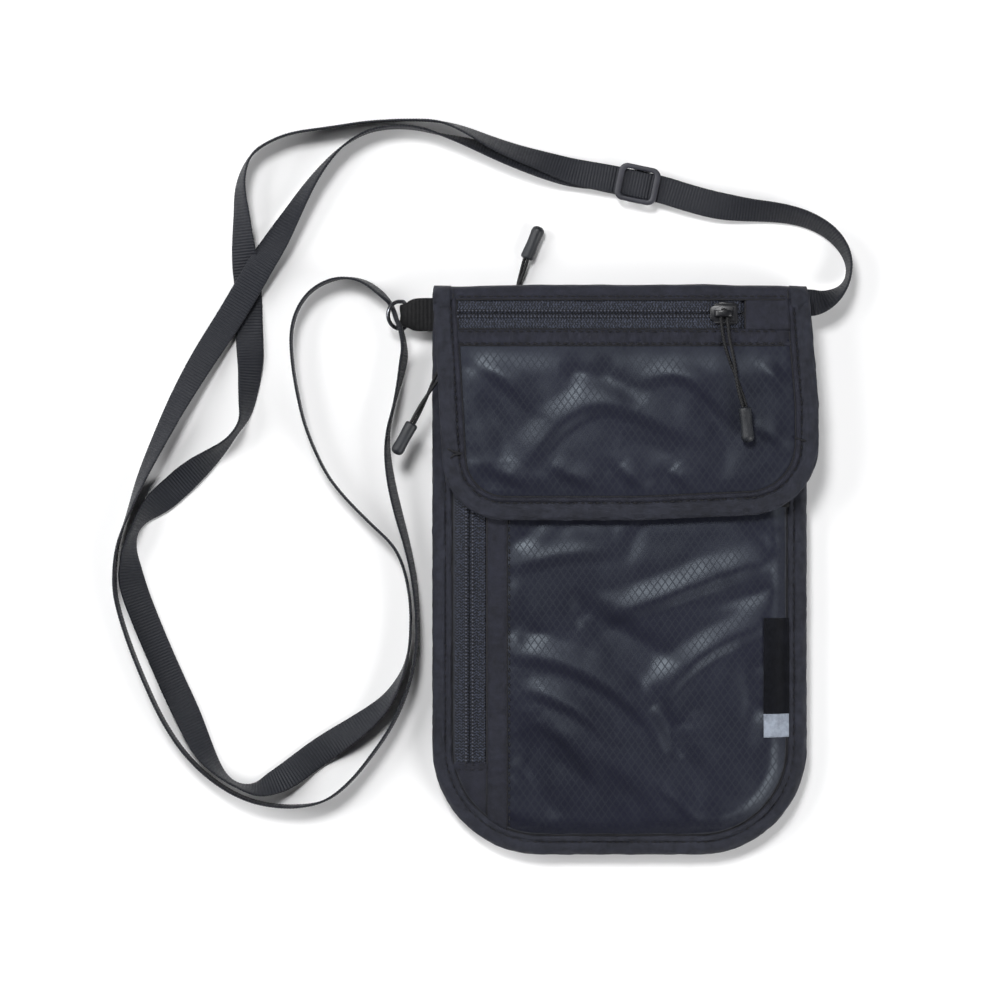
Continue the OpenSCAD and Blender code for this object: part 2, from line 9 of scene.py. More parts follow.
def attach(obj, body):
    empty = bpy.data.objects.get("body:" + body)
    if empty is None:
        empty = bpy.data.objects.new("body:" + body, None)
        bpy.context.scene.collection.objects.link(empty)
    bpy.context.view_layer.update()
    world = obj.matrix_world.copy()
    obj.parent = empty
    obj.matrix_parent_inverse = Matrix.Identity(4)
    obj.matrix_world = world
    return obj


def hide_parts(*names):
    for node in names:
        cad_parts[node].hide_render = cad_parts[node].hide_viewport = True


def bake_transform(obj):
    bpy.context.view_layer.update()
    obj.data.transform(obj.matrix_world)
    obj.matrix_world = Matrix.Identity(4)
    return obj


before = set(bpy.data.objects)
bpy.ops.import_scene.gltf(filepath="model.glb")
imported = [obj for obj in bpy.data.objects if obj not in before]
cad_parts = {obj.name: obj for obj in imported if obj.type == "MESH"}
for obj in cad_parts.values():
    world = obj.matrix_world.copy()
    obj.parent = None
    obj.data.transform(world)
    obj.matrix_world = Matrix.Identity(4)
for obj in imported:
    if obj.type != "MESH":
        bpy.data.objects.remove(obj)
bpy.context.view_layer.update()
MM = 0.001
scene = bpy.context.scene

# ------------------------------------------------------------------ camera, light, floor
LENS, SENSOR, FRAME_W = 130.0, 36.0, 0.35
cam_data = bpy.data.cameras.new("camera")
cam_data.lens, cam_data.sensor_width = LENS, SENSOR
cam_data.clip_start, cam_data.clip_end = 0.05, 20
camera = bpy.data.objects.new("camera", cam_data)
camera.location = (-0.042, 0.02485, 0.012 + FRAME_W * LENS / SENSOR)
scene.collection.objects.link(camera)
scene.camera = camera


def area(name, place, aim, size, power):
    data = bpy.data.lights.new(name, "AREA")
    data.shape, data.size, data.size_y, data.energy = "RECTANGLE", *size, power
    o = bpy.data.objects.new(name, data)
    o.location = place
    o.rotation_euler = (Vector(aim) - Vector(place)).to_track_quat("-Z", "Y").to_euler()
    scene.collection.objects.link(o)


area("sheen", (-0.30, 0.66, 1.22), (-0.02, 0.0, 0), (0.36, 0.36), 13)
area("side", (-1.15, 0.35, 0.75), (-0.03, 0.03, 0), (0.8, 0.8), 13)
area("fill", (1.0, -0.6, 0.8), (-0.02, 0, 0), (0.9, 0.8), 15)
world = bpy.data.worlds.new("studio")
scene.world = world
world.use_nodes = True
sky = world.node_tree
sky_dir = sky.nodes.new("ShaderNodeTexCoord")
split = sky.nodes.new("ShaderNodeSeparateXYZ")
fade = sky.nodes.new("ShaderNodeMapRange")
fade.inputs["From Min"].default_value, fade.inputs["From Max"].default_value = 0.45, 0.95
fade.inputs["To Min"].default_value, fade.inputs["To Max"].default_value = 0.95, 0.16
sky.links.new(sky_dir.outputs["Generated"], split.inputs[0])
sky.links.new(split.outputs[2], fade.inputs["Value"])
sky.links.new(fade.outputs[0], sky.nodes["Background"].inputs[1])
scene.view_settings.view_transform = "Standard"


# ------------------------------------------------------------------ materials
class Nodes:
    """Small helper that wires a material's node tree."""

    def __init__(self, name, rough=0.7, metallic=0.0, sheen=0.0, spec=0.5, coat=0.0):
        self.m = bpy.data.materials.new(name)
        self.m.use_nodes = True
        self.t = self.m.node_tree
        self.b = self.t.nodes["Principled BSDF"]
        for key, value in {"Roughness": rough, "Metallic": metallic, "Sheen Weight": sheen,
                           "Sheen Roughness": 0.4, "Specular IOR Level": spec, "Coat Weight": coat,
                           "Coat Roughness": 0.3}.items():
            self.b.inputs[key].default_value = value
        self.co = self.t.nodes.new("ShaderNodeTexCoord")

    def put(self, socket, value):
        if isinstance(value, (int, float)):
            socket.default_value = value
        elif isinstance(value, (tuple, list)):
            socket.default_value = (*value, 1) if len(socket.default_value) > len(value) else value
        else:
            self.t.links.new(value, socket)

    def math(self, op, a, b=0.0, c=0.0):
        n = self.t.nodes.new("ShaderNodeMath")
        n.operation = op
        for s, v in zip(n.inputs, (a, b, c)):
            self.put(s, v)
        return n.outputs[0]

    def axes(self, source="Object"):
        n = self.t.nodes.new("ShaderNodeSeparateXYZ")
        self.t.links.new(self.co.outputs[source], n.inputs[0])
        return n.outputs

    def noise(self, scale, detail=3.0, rough=0.55, source="Object", stretch=None):
        n = self.t.nodes.new("ShaderNodeTexNoise")
        n.inputs["Scale"].default_value = scale
        n.inputs["Detail"].default_value = detail
        n.inputs["Roughness"].default_value = rough
        vec = self.co.outputs[source]
        if stretch:
            mp = self.t.nodes.new("ShaderNodeMapping")
            mp.inputs["Scale"].default_value = stretch
            self.t.links.new(vec, mp.inputs[0])
            vec = mp.outputs[0]
        self.t.links.new(vec, n.inputs["Vector"])
        return n.outputs["Fac"]

    def wave(self, axis, pitch, phase=0.0):
        """0..1 cosine along an axis socket whose unit is metres, repeating every pitch metres."""
        v = self.math("MULTIPLY_ADD", axis, 2 * math.pi / pitch, phase)
        return self.math("MULTIPLY_ADD", self.math("COSINE", v), 0.5, 0.5)

    def ramp(self, fac, low, high, a=0.0, b=1.0):
        n = self.t.nodes.new("ShaderNodeMapRange")
        self.put(n.inputs["Value"], fac)
        n.inputs["From Min"].default_value, n.inputs["From Max"].default_value = low, high
        n.inputs["To Min"].default_value, n.inputs["To Max"].default_value = a, b
        return n.outputs[0]

    def mix(self, fac, a, b):
        n = self.t.nodes.new("ShaderNodeMix")
        n.data_type = "RGBA"
        self.put(n.inputs["Factor"], fac)
        self.put(n.inputs[6], a)
        self.put(n.inputs[7], b)
        return n.outputs[2]

    def colour(self, v):
        self.put(self.b.inputs["Base Color"], v)

    def rough(self, v):
        self.put(self.b.inputs["Roughness"], v)

    def bump(self, height, distance, strength=1.0, after=None):
        n = self.t.nodes.new("ShaderNodeBump")
        n.inputs["Strength"].default_value = strength
        n.inputs["Distance"].default_value = distance
        self.put(n.inputs["Height"], height)
        if after is not None:
            self.t.links.new(after, n.inputs["Normal"])
        self.t.links.new(n.outputs[0], self.b.inputs["Normal"])
        return n.outputs[0]


def shade(c, k):
    return tuple(min(1.0, v * k) for v in c)


def woven(name, colour, pitch=0.00045, rough=0.62, sheen=0.06, depth=0.00009, thread_highlight=0.3, spec=0.28):
    """Plain weave: over and under threads both ways, with slight colour drift and faint creases; the raised
    threads are also painted lighter, a painted highlight.
    """
    g = Nodes(name, rough, sheen=sheen, spec=spec)
    ax = g.axes()
    a, b = g.wave(ax[0], pitch), g.wave(ax[1], pitch)
    weave = g.math("ABSOLUTE", g.math("SUBTRACT", a, b))
    drift = g.noise(60, 4)
    fuzz = g.noise(2600, 2)
    patchy = g.noise(330, 4, 0.65)
    blend = g.math("MULTIPLY_ADD", patchy, 0.65, g.math("MULTIPLY", drift, 0.35))
    tone = g.mix(g.ramp(blend, 0.38, 0.62), shade(colour, 0.6), shade(colour, 1.4))
    # painted highlight: the colour is lighter where the weave's threads rise
    g.colour(g.mix(g.math("MULTIPLY", weave, 0.3), tone, shade(colour, 1 + thread_highlight * 1.4)))
    g.rough(g.ramp(fuzz, 0.3, 0.7, rough - 0.06, rough + 0.1))
    n = g.bump(weave, depth)
    g.bump(g.noise(420, 4), 0.00012, 0.6, after=n)
    return g.m


def ripstop(name, colour):
    """Coated nylon with a diamond grid, 2.6 mm wide and 3.7 mm high, that shows where light glances; the grid
    lines are also painted darker, painted shade for their duller look in that light.
    """
    g = Nodes(name, 0.4, spec=0.38)
    g.b.inputs["Specular Tint"].default_value = (0.80, 0.91, 1.0, 1)
    ax = g.axes()
    wob = g.math("MULTIPLY", g.math("SUBTRACT", g.noise(90, 2), 0.5), 0.0007)
    x = g.math("DIVIDE", g.math("ADD", ax[0], wob), 0.0026)
    y = g.math("DIVIDE", ax[1], 0.0037)
    lines = []
    for s in (1, -1):
        f = g.math("FRACT", g.math("MULTIPLY_ADD", y, s, x))
        lines.append(g.ramp(g.math("ABSOLUTE", g.math("SUBTRACT", f, 0.5)), 0.33, 0.5))
    grid = g.math("POWER", g.math("MAXIMUM", *lines), 1.6)
    tone = g.mix(g.ramp(g.noise(35, 4), 0.35, 0.65), shade(colour, 0.88), shade(colour, 1.12))
    # painted shade: grid lines darker in colour, standing in for how they look under the glancing light
    g.colour(g.mix(g.math("MULTIPLY", grid, 0.6), tone, shade(colour, 0.5)))
    g.rough(g.math("MULTIPLY_ADD", grid, 0.23, g.ramp(g.noise(260, 4), 0.3, 0.7, 0.34, 0.41)))
    n = g.bump(grid, 0.000012, 0.5)
    g.bump(g.noise(120, 4), 0.00014, 0.4, after=n)
    return g.m


def zip_weave(name, colour):
    """Herringbone tape: short slanting threads in columns, the raised threads painted lighter and the hollows
    darker (painted highlight and shade), with random light flecks too. UV runs in metres, U along the tape.
    """
    g = Nodes(name, 0.6, spec=0.3, sheen=0.05)
    ax = g.axes("UV")
    side = g.math("ABSOLUTE", g.math("SUBTRACT", g.math("FRACT", g.math("DIVIDE", ax[1], 0.0015)), 0.5))
    slant = g.math("MULTIPLY_ADD", side, 0.0011, ax[0])
    thread = g.math("MULTIPLY", g.wave(slant, 0.0010),
                    g.math("MULTIPLY_ADD", g.wave(ax[1], 0.00075), 0.5, 0.5))
    knots = g.noise(1050, 2, 0.6, source="UV")
    h = g.ramp(g.math("MULTIPLY_ADD", knots, 1.2, g.math("MULTIPLY", thread, 0.5)), 0.66, 0.98)
    # painted highlight and shade: raised threads and flecks lighter, the hollows between them darker
    g.colour(g.mix(h, shade(colour, 0.5), shade(colour, 3.4)))
    g.bump(h, 0.00025)
    return g.m


def ribbed(name, colour, pitch, rough=0.6, sheen=0.05, depth=0.00018, fine=0.0005):
    """Webbing or grosgrain: ribs across the tape, threads along it, the raised ribs painted lighter as a painted
    highlight. UV runs in metres, U along the tape.
    """
    g = Nodes(name, rough, sheen=sheen, spec=0.35)
    ax = g.axes("UV")
    rib, thread = g.wave(ax[0], pitch), g.wave(ax[1], fine)
    jig = g.noise(1500, 3, source="UV", stretch=(1, 0.35, 1))
    h = g.math("ADD", g.math("MULTIPLY", rib, g.math("MULTIPLY_ADD", thread, 0.35, 0.65)),
               g.math("MULTIPLY", jig, 0.35))
    tone = g.mix(g.ramp(g.noise(30, 3, source="UV"), 0.35, 0.65), shade(colour, 0.85), shade(colour, 1.15))
    # painted highlight: colour lighter where the ribs rise
    g.colour(g.mix(g.math("MULTIPLY", h, 0.5), tone, shade(colour, 2.1)))
    g.rough(g.ramp(jig, 0.3, 0.7, rough - 0.08, rough + 0.1))
    g.bump(h, depth)
    return g.m


def moulded(name, colour, rough, grain=1800, depth=0.00002, spec=0.5, metallic=0.0, wear=0.25, coat=0.0):
    """Moulded or cast surface: fine grain, with patches that differ a little in colour and gloss."""
    g = Nodes(name, rough, metallic=metallic, spec=spec, coat=coat)
    fine, patchy = g.noise(grain, 4), g.noise(140, 5)
    g.colour(g.mix(g.ramp(patchy, 0.38, 0.66), shade(colour, 1 - wear), shade(colour, 1 + wear)))
    g.rough(g.ramp(patchy, 0.3, 0.7, rough - 0.07, rough + 0.1))
    g.bump(fine, depth)
    return g.m


M = {
    "plain": woven("plain_fabric", (0.0135, 0.0145, 0.0240)),
    "bind": woven("binding_tape", (0.0175, 0.0190, 0.0285), pitch=0.0006, depth=0.00012, rough=0.66),
    "ripstop": ripstop("ripstop_fabric", (0.0126, 0.0130, 0.0228)),
    "lining": woven("lining_fabric", (0.024, 0.026, 0.034), pitch=0.0005),
    "tape": zip_weave("zip_tape", (0.0120, 0.0140, 0.0215)),
    "webbing": ribbed("webbing", (0.0074, 0.0084, 0.0125), 0.00105),
    "tab": ribbed("tab_webbing", (0.0022, 0.0022, 0.0030), 0.0014, rough=0.75, depth=0.00012),
    "label": woven("label_black", (0.005, 0.0055, 0.008), pitch=0.0004, thread_highlight=0.5, spec=0.08),
    "grey": woven("label_grey", (0.245, 0.275, 0.33), pitch=0.0006, thread_highlight=0.15),
    "thread": ribbed("thread", (0.052, 0.056, 0.076), 0.0004, fine=0.0002, depth=0.00004),
    # dark thread for the stitches; the same material makes the dark strips of painted groove shade
    "dark_thread_and_groove_shade": ribbed("dark_thread_and_groove_shade", (0.004, 0.004, 0.006), 0.0004, fine=0.0002, depth=0.00004),
    "coil": moulded("zip_coil", (0.018, 0.020, 0.028), 0.45),
    "metal": moulded("zip_metal", (0.0100, 0.0105, 0.0135), 0.36, metallic=0.2, wear=0.35, coat=0.15),
    "cord": ribbed("pull_cord", (0.006, 0.006, 0.007), 0.0011, fine=0.0009, depth=0.00012),
    "rubber": moulded("cord_rubber", (0.0115, 0.0135, 0.0180), 0.5, grain=2600, depth=0.00003),
    "ring": moulded("ring_metal", (0.14, 0.145, 0.16), 0.27, metallic=0.9, wear=0.3),
    "plastic": moulded("adjuster_plastic", (0.0215, 0.0225, 0.0320), 0.46, grain=1500),
    "hook": moulded("hook_loop", (0.006, 0.006, 0.007), 0.9, grain=1100, depth=0.0006),
}


# ------------------------------------------------------------------ mesh helpers (mm)
def make(name, shape, kind, body=None, *nodes):
    """Object from (verts, faces, uv) in mm, a uv per vertex; it rides body and stands for the CAD nodes."""
    verts, faces, uv = shape
    mesh = bpy.data.meshes.new(name)
    mesh.from_pydata([tuple(float(c) * MM for c in v) for v in verts], [],
                     [tuple(int(i) for i in f) for f in faces])
    mesh.validate()
    mesh.polygons.foreach_set("use_smooth", [True] * len(mesh.polygons))
    flat = np.array(uv, float)[np.array([l.vertex_index for l in mesh.loops])] * MM
    mesh.uv_layers.new(name="UVMap").data.foreach_set("uv", flat.astype(np.float32).ravel())
    mesh.materials.append(M[kind])
    mesh.update()
    o = bpy.data.objects.new(name, mesh)
    scene.collection.objects.link(o)
    if body:
        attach(o, body)
    if nodes:
        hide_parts(*nodes)
    return o


def moved(shape, move):
    return move(shape[0]), *shape[1:]


def unit(v):
    v = np.asarray(v, float)
    return v / np.maximum(np.linalg.norm(v, axis=-1, keepdims=True), 1e-12)


def catmull(a, b, c, d, n):
    """n points of the Catmull-Rom span from b towards c."""
    square, cube = 2 * a - 5 * b + 4 * c - d, 3 * b - a - 3 * c + d
    return [0.5 * (2 * b + (c - a) * t + square * t * t + cube * t ** 3) for t in (k / n for k in range(n))]


def spline(p, n):
    """Curve through the points, n samples a span; any number of columns."""
    p = np.asarray(p, float)
    out = []
    for i in range(len(p) - 1):
        out += catmull(p[max(i - 1, 0)], p[i], p[i + 1], p[min(i + 2, len(p) - 1)], n)
    return np.array(out + [p[-1]])


def smooth_loop(section, n):
    """Closed section rounded by a spline."""
    p = np.array(section, float)
    return np.array([q for i in range(len(p)) for q in catmull(*np.roll(p, 1 - i, 0)[:4], n)])


def resample(p, step, cols=3):
    p = np.asarray(p, float)
    s = along(p[:, :cols])
    n = max(2, int(round(s[-1] / step)) + 1)
    at = np.linspace(0, s[-1], n)
    return np.stack([np.interp(at, s, p[:, k]) for k in range(p.shape[1])], 1)


def soften(p, sigma):
    """Gaussian smoothing along the rows, ends held."""
    n = int(3 * sigma)
    k = np.exp(-0.5 * (np.arange(-n, n + 1) / sigma) ** 2)
    k /= k.sum()
    pad = np.concatenate([2 * p[0] - p[n:0:-1], p, 2 * p[-1] - p[-2:-n - 2:-1]])
    return np.stack([np.convolve(pad[:, c], k, "valid") for c in range(p.shape[1])], 1)


def along(p):
    """Distance of each point from the first, along the line."""
    return np.concatenate([[0], np.cumsum(np.linalg.norm(np.diff(p, axis=0), axis=1))])


def tangents(p, closed=False):
    if closed:
        return unit(np.roll(p, -1, 0) - np.roll(p, 1, 0))
    return unit(np.gradient(p, axis=0))


def tube_faces(n, k, closed=False):
    """Quads between n rings of k points, with end caps unless it closes on itself."""
    faces = []
    for i in range(n if closed else n - 1):
        a, b = i * k, ((i + 1) % n) * k
        faces += [(a + j, a + (j + 1) % k, b + (j + 1) % k, b + j) for j in range(k)]
    return faces if closed else faces + [tuple(range(k))[::-1], tuple(range((n - 1) * k, n * k))]


def sweep(centre, wide, high, section, closed=False):
    """section: (k, 2) or (n, k, 2) of (across, up). Returns verts, faces, uv with U along the run."""
    n = len(centre)
    sec = np.asarray(section, float)
    if sec.ndim == 2:
        sec = np.repeat(sec[None], n, 0)
    k = sec.shape[1]
    v = centre[:, None] + sec[:, :, :1] * wide[:, None] + sec[:, :, 1:] * high[:, None]
    uv = np.stack([np.repeat(along(centre), k), np.tile(along(sec[0]), n)], 1)
    return v.reshape(-1, 3), tube_faces(n, k, closed), uv


def ellipse(rx, ry, k, power=1.0):
    a = np.arange(k) * 2 * math.pi / k
    c, s = np.cos(a), np.sin(a)
    return np.stack([rx * np.sign(c) * np.abs(c) ** power, ry * np.sign(s) * np.abs(s) ** power], 1)


def leftward(t):
    """Level directions to the left of the directions t."""
    return np.column_stack([-t[:, 1], t[:, 0], 0 * t[:, 0]])


def all_y(n):
    return np.tile([0, 1.0, 0], (n, 1))


def all_z(n):
    return np.tile([0, 0, 1.0], (n, 1))


def level_frame(p):
    """Sideways and upward directions for a run that stays roughly level."""
    t = tangents(p)
    w = unit(leftward(t))
    return w, unit(np.cross(t, w))


def carried_frame(p):
    """Twist-free frame for a run in any direction."""
    t = tangents(p)
    up = [unit(np.array([0, 0, 1]) - t[0, 2] * t[0])]
    for i in range(1, len(p)):
        up.append(unit(up[-1] - np.dot(up[-1], t[i]) * t[i]))
    up = np.array(up)
    return unit(np.cross(up, t)), up


def join(*parts):
    verts, faces, uvs, base = [], [], [], 0
    for v, f, u in parts:
        verts.append(v)
        uvs.append(u)
        faces += [tuple(i + base for i in q) for q in f]
        base += len(v)
    return np.concatenate(verts), faces, np.concatenate(uvs)


def rounded(pts, d, step=1.0, least=0.5, m=None):
    """Outline with each side moved in by d and its corners turned into arcs, as the CAD draws it.

    m fixes the number of points in a corner; least is the smallest corner radius."""
    n = len(pts)
    p = [np.array(q[:2], float) for q in pts]
    out, corners = [], []
    for i in range(n):
        a, b, c = p[i - 1], p[i], p[(i + 1) % n]
        u, v = unit(b - a), unit(c - b)
        a2, b2 = a + np.array([-u[1], u[0]]) * d, b + np.array([-v[1], v[0]]) * d
        k = (v[0] * (b2[1] - a2[1]) - v[1] * (b2[0] - a2[0])) / (v[0] * u[1] - v[1] * u[0])
        corners.append((a2 + u * k, max(pts[i][2] - d, least)))
    for i in range(n):
        a, (b, r), c = corners[i - 1][0], corners[i], corners[(i + 1) % n][0]
        u, v = unit(a - b), unit(c - b)
        half = math.acos(np.clip(np.dot(u, v), -1, 1)) / 2
        mid = b + unit(u + v) * r / math.sin(half)
        s = b + u * r / math.tan(half) - mid
        base, turn = math.atan2(s[1], s[0]), math.pi - 2 * half
        last = m or max(4, int(r * turn / step))
        for k in range(last + 1):
            a = base + turn * k / last
            out.append(mid + r * np.array([math.cos(a), math.sin(a)]))
    return np.array(out)


def densify(loop, step):
    return resample(np.concatenate([loop, loop[:1]]), step, 2)[:-1]


def outline(pts, d, step, **window):
    """Rounded outline d inside pts with points every step mm, clipped to a window."""
    return cut(densify(rounded(pts, d), step), **window)


def away(xy, line):
    """Distance of each point from a polyline."""
    best = np.full(len(xy), 1e9)
    for a, b in zip(line[:-1], line[1:]):
        ab = b - a
        t = np.clip(((xy - a) @ ab) / max(ab @ ab, 1e-12), 0, 1)
        best = np.minimum(best, np.hypot(*(xy - a - t[:, None] * ab).T))
    return best


def inside(xy, loop):
    x, y = xy[:, 0], xy[:, 1]
    hit = np.zeros(len(xy), bool)
    for a, b in zip(loop, np.roll(loop, -1, 0)):
        cross = (a[1] > y) != (b[1] > y)
        with np.errstate(divide="ignore", invalid="ignore"):
            hit ^= cross & (x < (b[0] - a[0]) * (y - a[1]) / (b[1] - a[1]) + a[0])
    return hit


def cut(loop, x0=-999, x1=999, y0=-999, y1=999):
    """Clips a closed outline to a window."""
    for axis, lim, sign in ((0, x0, 1), (0, x1, -1), (1, y0, 1), (1, y1, -1)):
        out = []
        for a, b in zip(loop, np.roll(loop, -1, 0)):
            ina, inb = sign * (a[axis] - lim) >= 0, sign * (b[axis] - lim) >= 0
            if ina:
                out.append(a)
            if ina != inb:
                out.append(a + (b - a) * (lim - a[axis]) / (b[axis] - a[axis]))
        loop = np.array(out)
    return loop


def sheet(xy, z, thick):
    """Points of the upper face, then those of the lower one."""
    return np.concatenate([np.column_stack([xy, z]), np.column_stack([xy, z - thick])])


def cloth(loop, step, height, extra=None, edge_step=None, thick=0.5):
    """Closed thin shell over an outline; height(xy) is its upper face. extra points are meshed in."""
    edge = densify(loop, edge_step or step)
    lo, hi = edge.min(0), edge.max(0)
    gx, gy = np.arange(lo[0], hi[0] + step, step), np.arange(lo[1], hi[1] + step, step * 0.87)
    grid = np.array([(x + (step / 2 if j % 2 else 0), y) for j, y in enumerate(gy) for x in gx])
    pts = grid if extra is None else np.concatenate([grid, extra])
    pts = pts[inside(pts, edge)]
    pts = pts[away(pts, np.concatenate([edge, edge[:1]])) > step * 0.35]
    allp = np.concatenate([edge, pts])
    res = geometry.delaunay_2d_cdt([Vector(p) for p in allp], [], [list(range(len(edge)))], 1, 1e-5)
    xy = np.array([tuple(v) for v in res[0]])
    tris = [tuple(f) for f in res[2]]
    n = len(xy)
    edges = dict.fromkeys(e for f in tris for e in zip(f, f[1:] + f[:1]))
    faces = tris + [tuple(i + n for i in f[::-1]) for f in tris]
    faces += [(a + n, b + n, b, a) for a, b in edges if (b, a) not in edges]
    return sheet(xy, height(xy), thick), faces, np.concatenate([xy, xy])


def grid_faces(ny, nx):
    """Quads of a thin sheet whose upper and lower faces are (ny, nx) grids of points, with its rim."""
    n, faces = ny * nx, []
    for j in range(ny - 1):
        for i in range(nx - 1):
            q = (j * nx + i, j * nx + i + 1, (j + 1) * nx + i + 1, (j + 1) * nx + i)
            faces += [q, tuple(k + n for k in q[::-1])]
    rim = list(range(nx)) + [j * nx + nx - 1 for j in range(1, ny)]
    rim += [(ny - 1) * nx + i for i in range(nx - 2, -1, -1)] + [j * nx for j in range(ny - 2, 0, -1)]
    return faces + [(b, a, a + n, b + n) for a, b in zip(rim, rim[1:] + rim[:1])]


def patch(x0, x1, y0, y1, step, height, thick=0.5):
    """Closed thin sheet over a rectangle; height(xy) is its upper face."""
    nx, ny = max(2, int((x1 - x0) / step)) + 1, max(2, int((y1 - y0) / step)) + 1
    xy = np.array([(x, y) for y in np.linspace(y0, y1, ny) for x in np.linspace(x0, x1, nx)])
    return sheet(xy, height(xy), thick), grid_faces(ny, nx), np.concatenate([xy, xy])


def fold(xy, line, high, wide):
    """Crease tapering out at both ends: a long even slope on the line's left, a short one on its right.

    A negative height gives a plain soft trough."""
    p = resample(spline(np.asarray(line, float), 6), 2.0, 2)
    d = np.hypot(xy[:, None, 0] - p[None, :, 0], xy[:, None, 1] - p[None, :, 1])
    i = d.argmin(1)
    taper = np.sin(np.pi * np.clip(i / (len(p) - 1) * 0.92 + 0.04, 0, 1)) ** 0.7
    if high < 0:
        return high * taper * np.exp(-(d.min(1) / wide) ** 2)
    t, off = tangents(p)[i], xy - p[i]
    left = t[:, 0] * off[:, 1] - t[:, 1] * off[:, 0] > 0
    slope = np.clip(1.08 - np.sqrt((d.min(1) / np.where(left, 1.65 * wide, 0.85 * wide)) ** 2 + 0.0064), 0, 1)
    return high * taper * (0.4 * step01(slope) + 0.6 * slope)


def rough_noise(xy, scale, seed=0.0):
    return np.array([noise.noise(Vector((x / scale, y / scale, seed))) for x, y in xy])


def step01(t):
    t = np.clip(t, 0, 1)
    return t * t * (3 - 2 * t)


def stitches(line, lift, pitch=2.6, length=1.9, radius=0.17):
    """A row of thread dashes along an (n, 3) line; lift is added to its height."""
    p = resample(line, pitch / 8)
    run = np.linspace(0, (len(p) - 1) * pitch / 8, len(p))
    size = np.array([0.35, 0.95, 1.05, 0.95, 0.35])
    sec = ellipse(radius, radius, 6)[None] * size[:, None, None]
    parts = []
    for s in np.arange(pitch * 0.3, run[-1] - length, pitch):
        at = np.linspace(s, s + length, 5)
        c = np.stack([np.interp(at, run, p[:, a]) for a in range(3)], 1)
        c[:, 2] += lift + np.array([-1.6, 0.5, 0.9, 0.5, -1.6]) * radius * 0.7 - 0.04
        parts.append(sweep(c, *level_frame(c), sec))
    return join(*parts)


# ------------------------------------------------------------------ neck strap
W, T, RIB = 9.6, 0.9, 1.05  # webbing's width, thickness and rib pitch
# x, y, z and roll in degrees along the webbing's centre; THROUGH, where it passes the ring, adds its width
LEAD = [(59.8, 94, 9.05, 0), (66.3, 94, 9.05, 0), (71, 94.5, 8.2, 35), (76, 97, 7, 62),
        (79.5, 100.5, 5.7, 82), (81, 105, 5, 86), (80.5, 110, 5, 80), (78, 115, 4.9, 72), (73, 120, 4.7, 65),
        (65, 124, 4.6, 58), (56, 126, 4.5, 50), (45.5, 127, 4.4, 38), (35, 128.5, 4.15, 14),
        (24.5, 131.2, 4.05, 2), (15.2, 134.1, 4.05, 0), (6.4, 136, 4.05, 0), (-2.4, 137.9, 4.05, 0)]
FIRST = [(-9.5, 139.2, 4.1, -5), (-17.5, 141, 4.2, -20), (-28, 144.5, 4.7, -42), (-37, 147.5, 4.8, -52),
         (-45.5, 151, 4.8, -62), (-54, 155, 5, -74), (-63, 158, 5, -85), (-75, 158.6, 5, -85),
         (-88.5, 157.9, 5, -85), (-101.5, 156, 5, -85), (-115, 154, 5, -85), (-123, 151, 5, -85),
         (-129, 147, 5, -85), (-132, 141.5, 5, -78), (-133.5, 134.5, 4.8, -66), (-133, 125.5, 4.4, -52),
         (-132.5, 115, 3.4, -32), (-131.8, 107, 1.7, -10), (-131, 100, 0.7, 0), (-130.5, 82.5, 0.7, 0),
         (-130, 72, 3, 28), (-131, 60, 4.4, 55), (-132, 53.5, 5, 75), (-134.5, 49.5, 5, 85),
         (-138, 45, 5, 78), (-143, 40.5, 4.6, 58), (-150, 35, 3, 28), (-157.5, 28.5, 0.7, 0),
         (-163.5, 23, 3.4, 35), (-168, 18.5, 4.9, 68), (-171, 13.5, 5, 80), (-172.5, 7.5, 4.7, 66),
         (-172.4, 2, 4, 46), (-171.4, -6, 1.7, 12), (-166, -20.5, 0.7, 0), (-158, -39, 0.7, 0),
         (-152, -51.5, 2.4, 20), (-147.2, -61.8, 3.8, 42), (-142.6, -68.8, 4.7, 68), (-138, -73.6, 5, 86),
         (-133, -76.2, 5, 86), (-127.5, -77, 4.7, 65), (-122.5, -75.2, 3.6, 38), (-116.5, -72, 1.9, 14),
         (-107, -65, 0.7, 0), (-96, -57.5, 3, 27), (-88.5, -52, 3.9, 45), (-82.5, -46.5, 4.7, 62),
         (-78.5, -40.5, 5, 76), (-75.5, -34, 5, 86), (-73.8, -26, 5, 90), (-73.4, -18, 5, 90),
         (-73.8, -9.5, 5, 90), (-75.8, 0.5, 5, 90), (-79.5, 8.5, 5, 90), (-86.5, 15.5, 5, 90),
         (-95, 24, 5, 90), (-102, 32.5, 5, 90), (-107, 42, 5, 90), (-111, 52.5, 5, 90), (-113.5, 63.5, 5, 90),
         (-115, 73, 5, 90), (-115.5, 83, 5, 90), (-113.5, 91.5, 5, 90), (-108.5, 98.5, 5, 90),
         (-101, 102.5, 5, 90), (-94.5, 103, 5, 86), (-89, 101.4, 5, 82), (-84.8, 98.2, 5, 78)]
THROUGH = [(-82, 95.8, 4.5, 80, 7.2), (-79.9, 93, 3.4, 88, 5), (-78.6, 88.9, 7.6, 86, 4.3),
           (-78.2, 87.9, 11.4, 88, 4.3), (-76.8, 85, 10.8, 84, 4.6), (-75.9, 80.8, 9.2, 82, 6.2),
           (-75.6, 77.4, 6.6, 80, 8.4)]
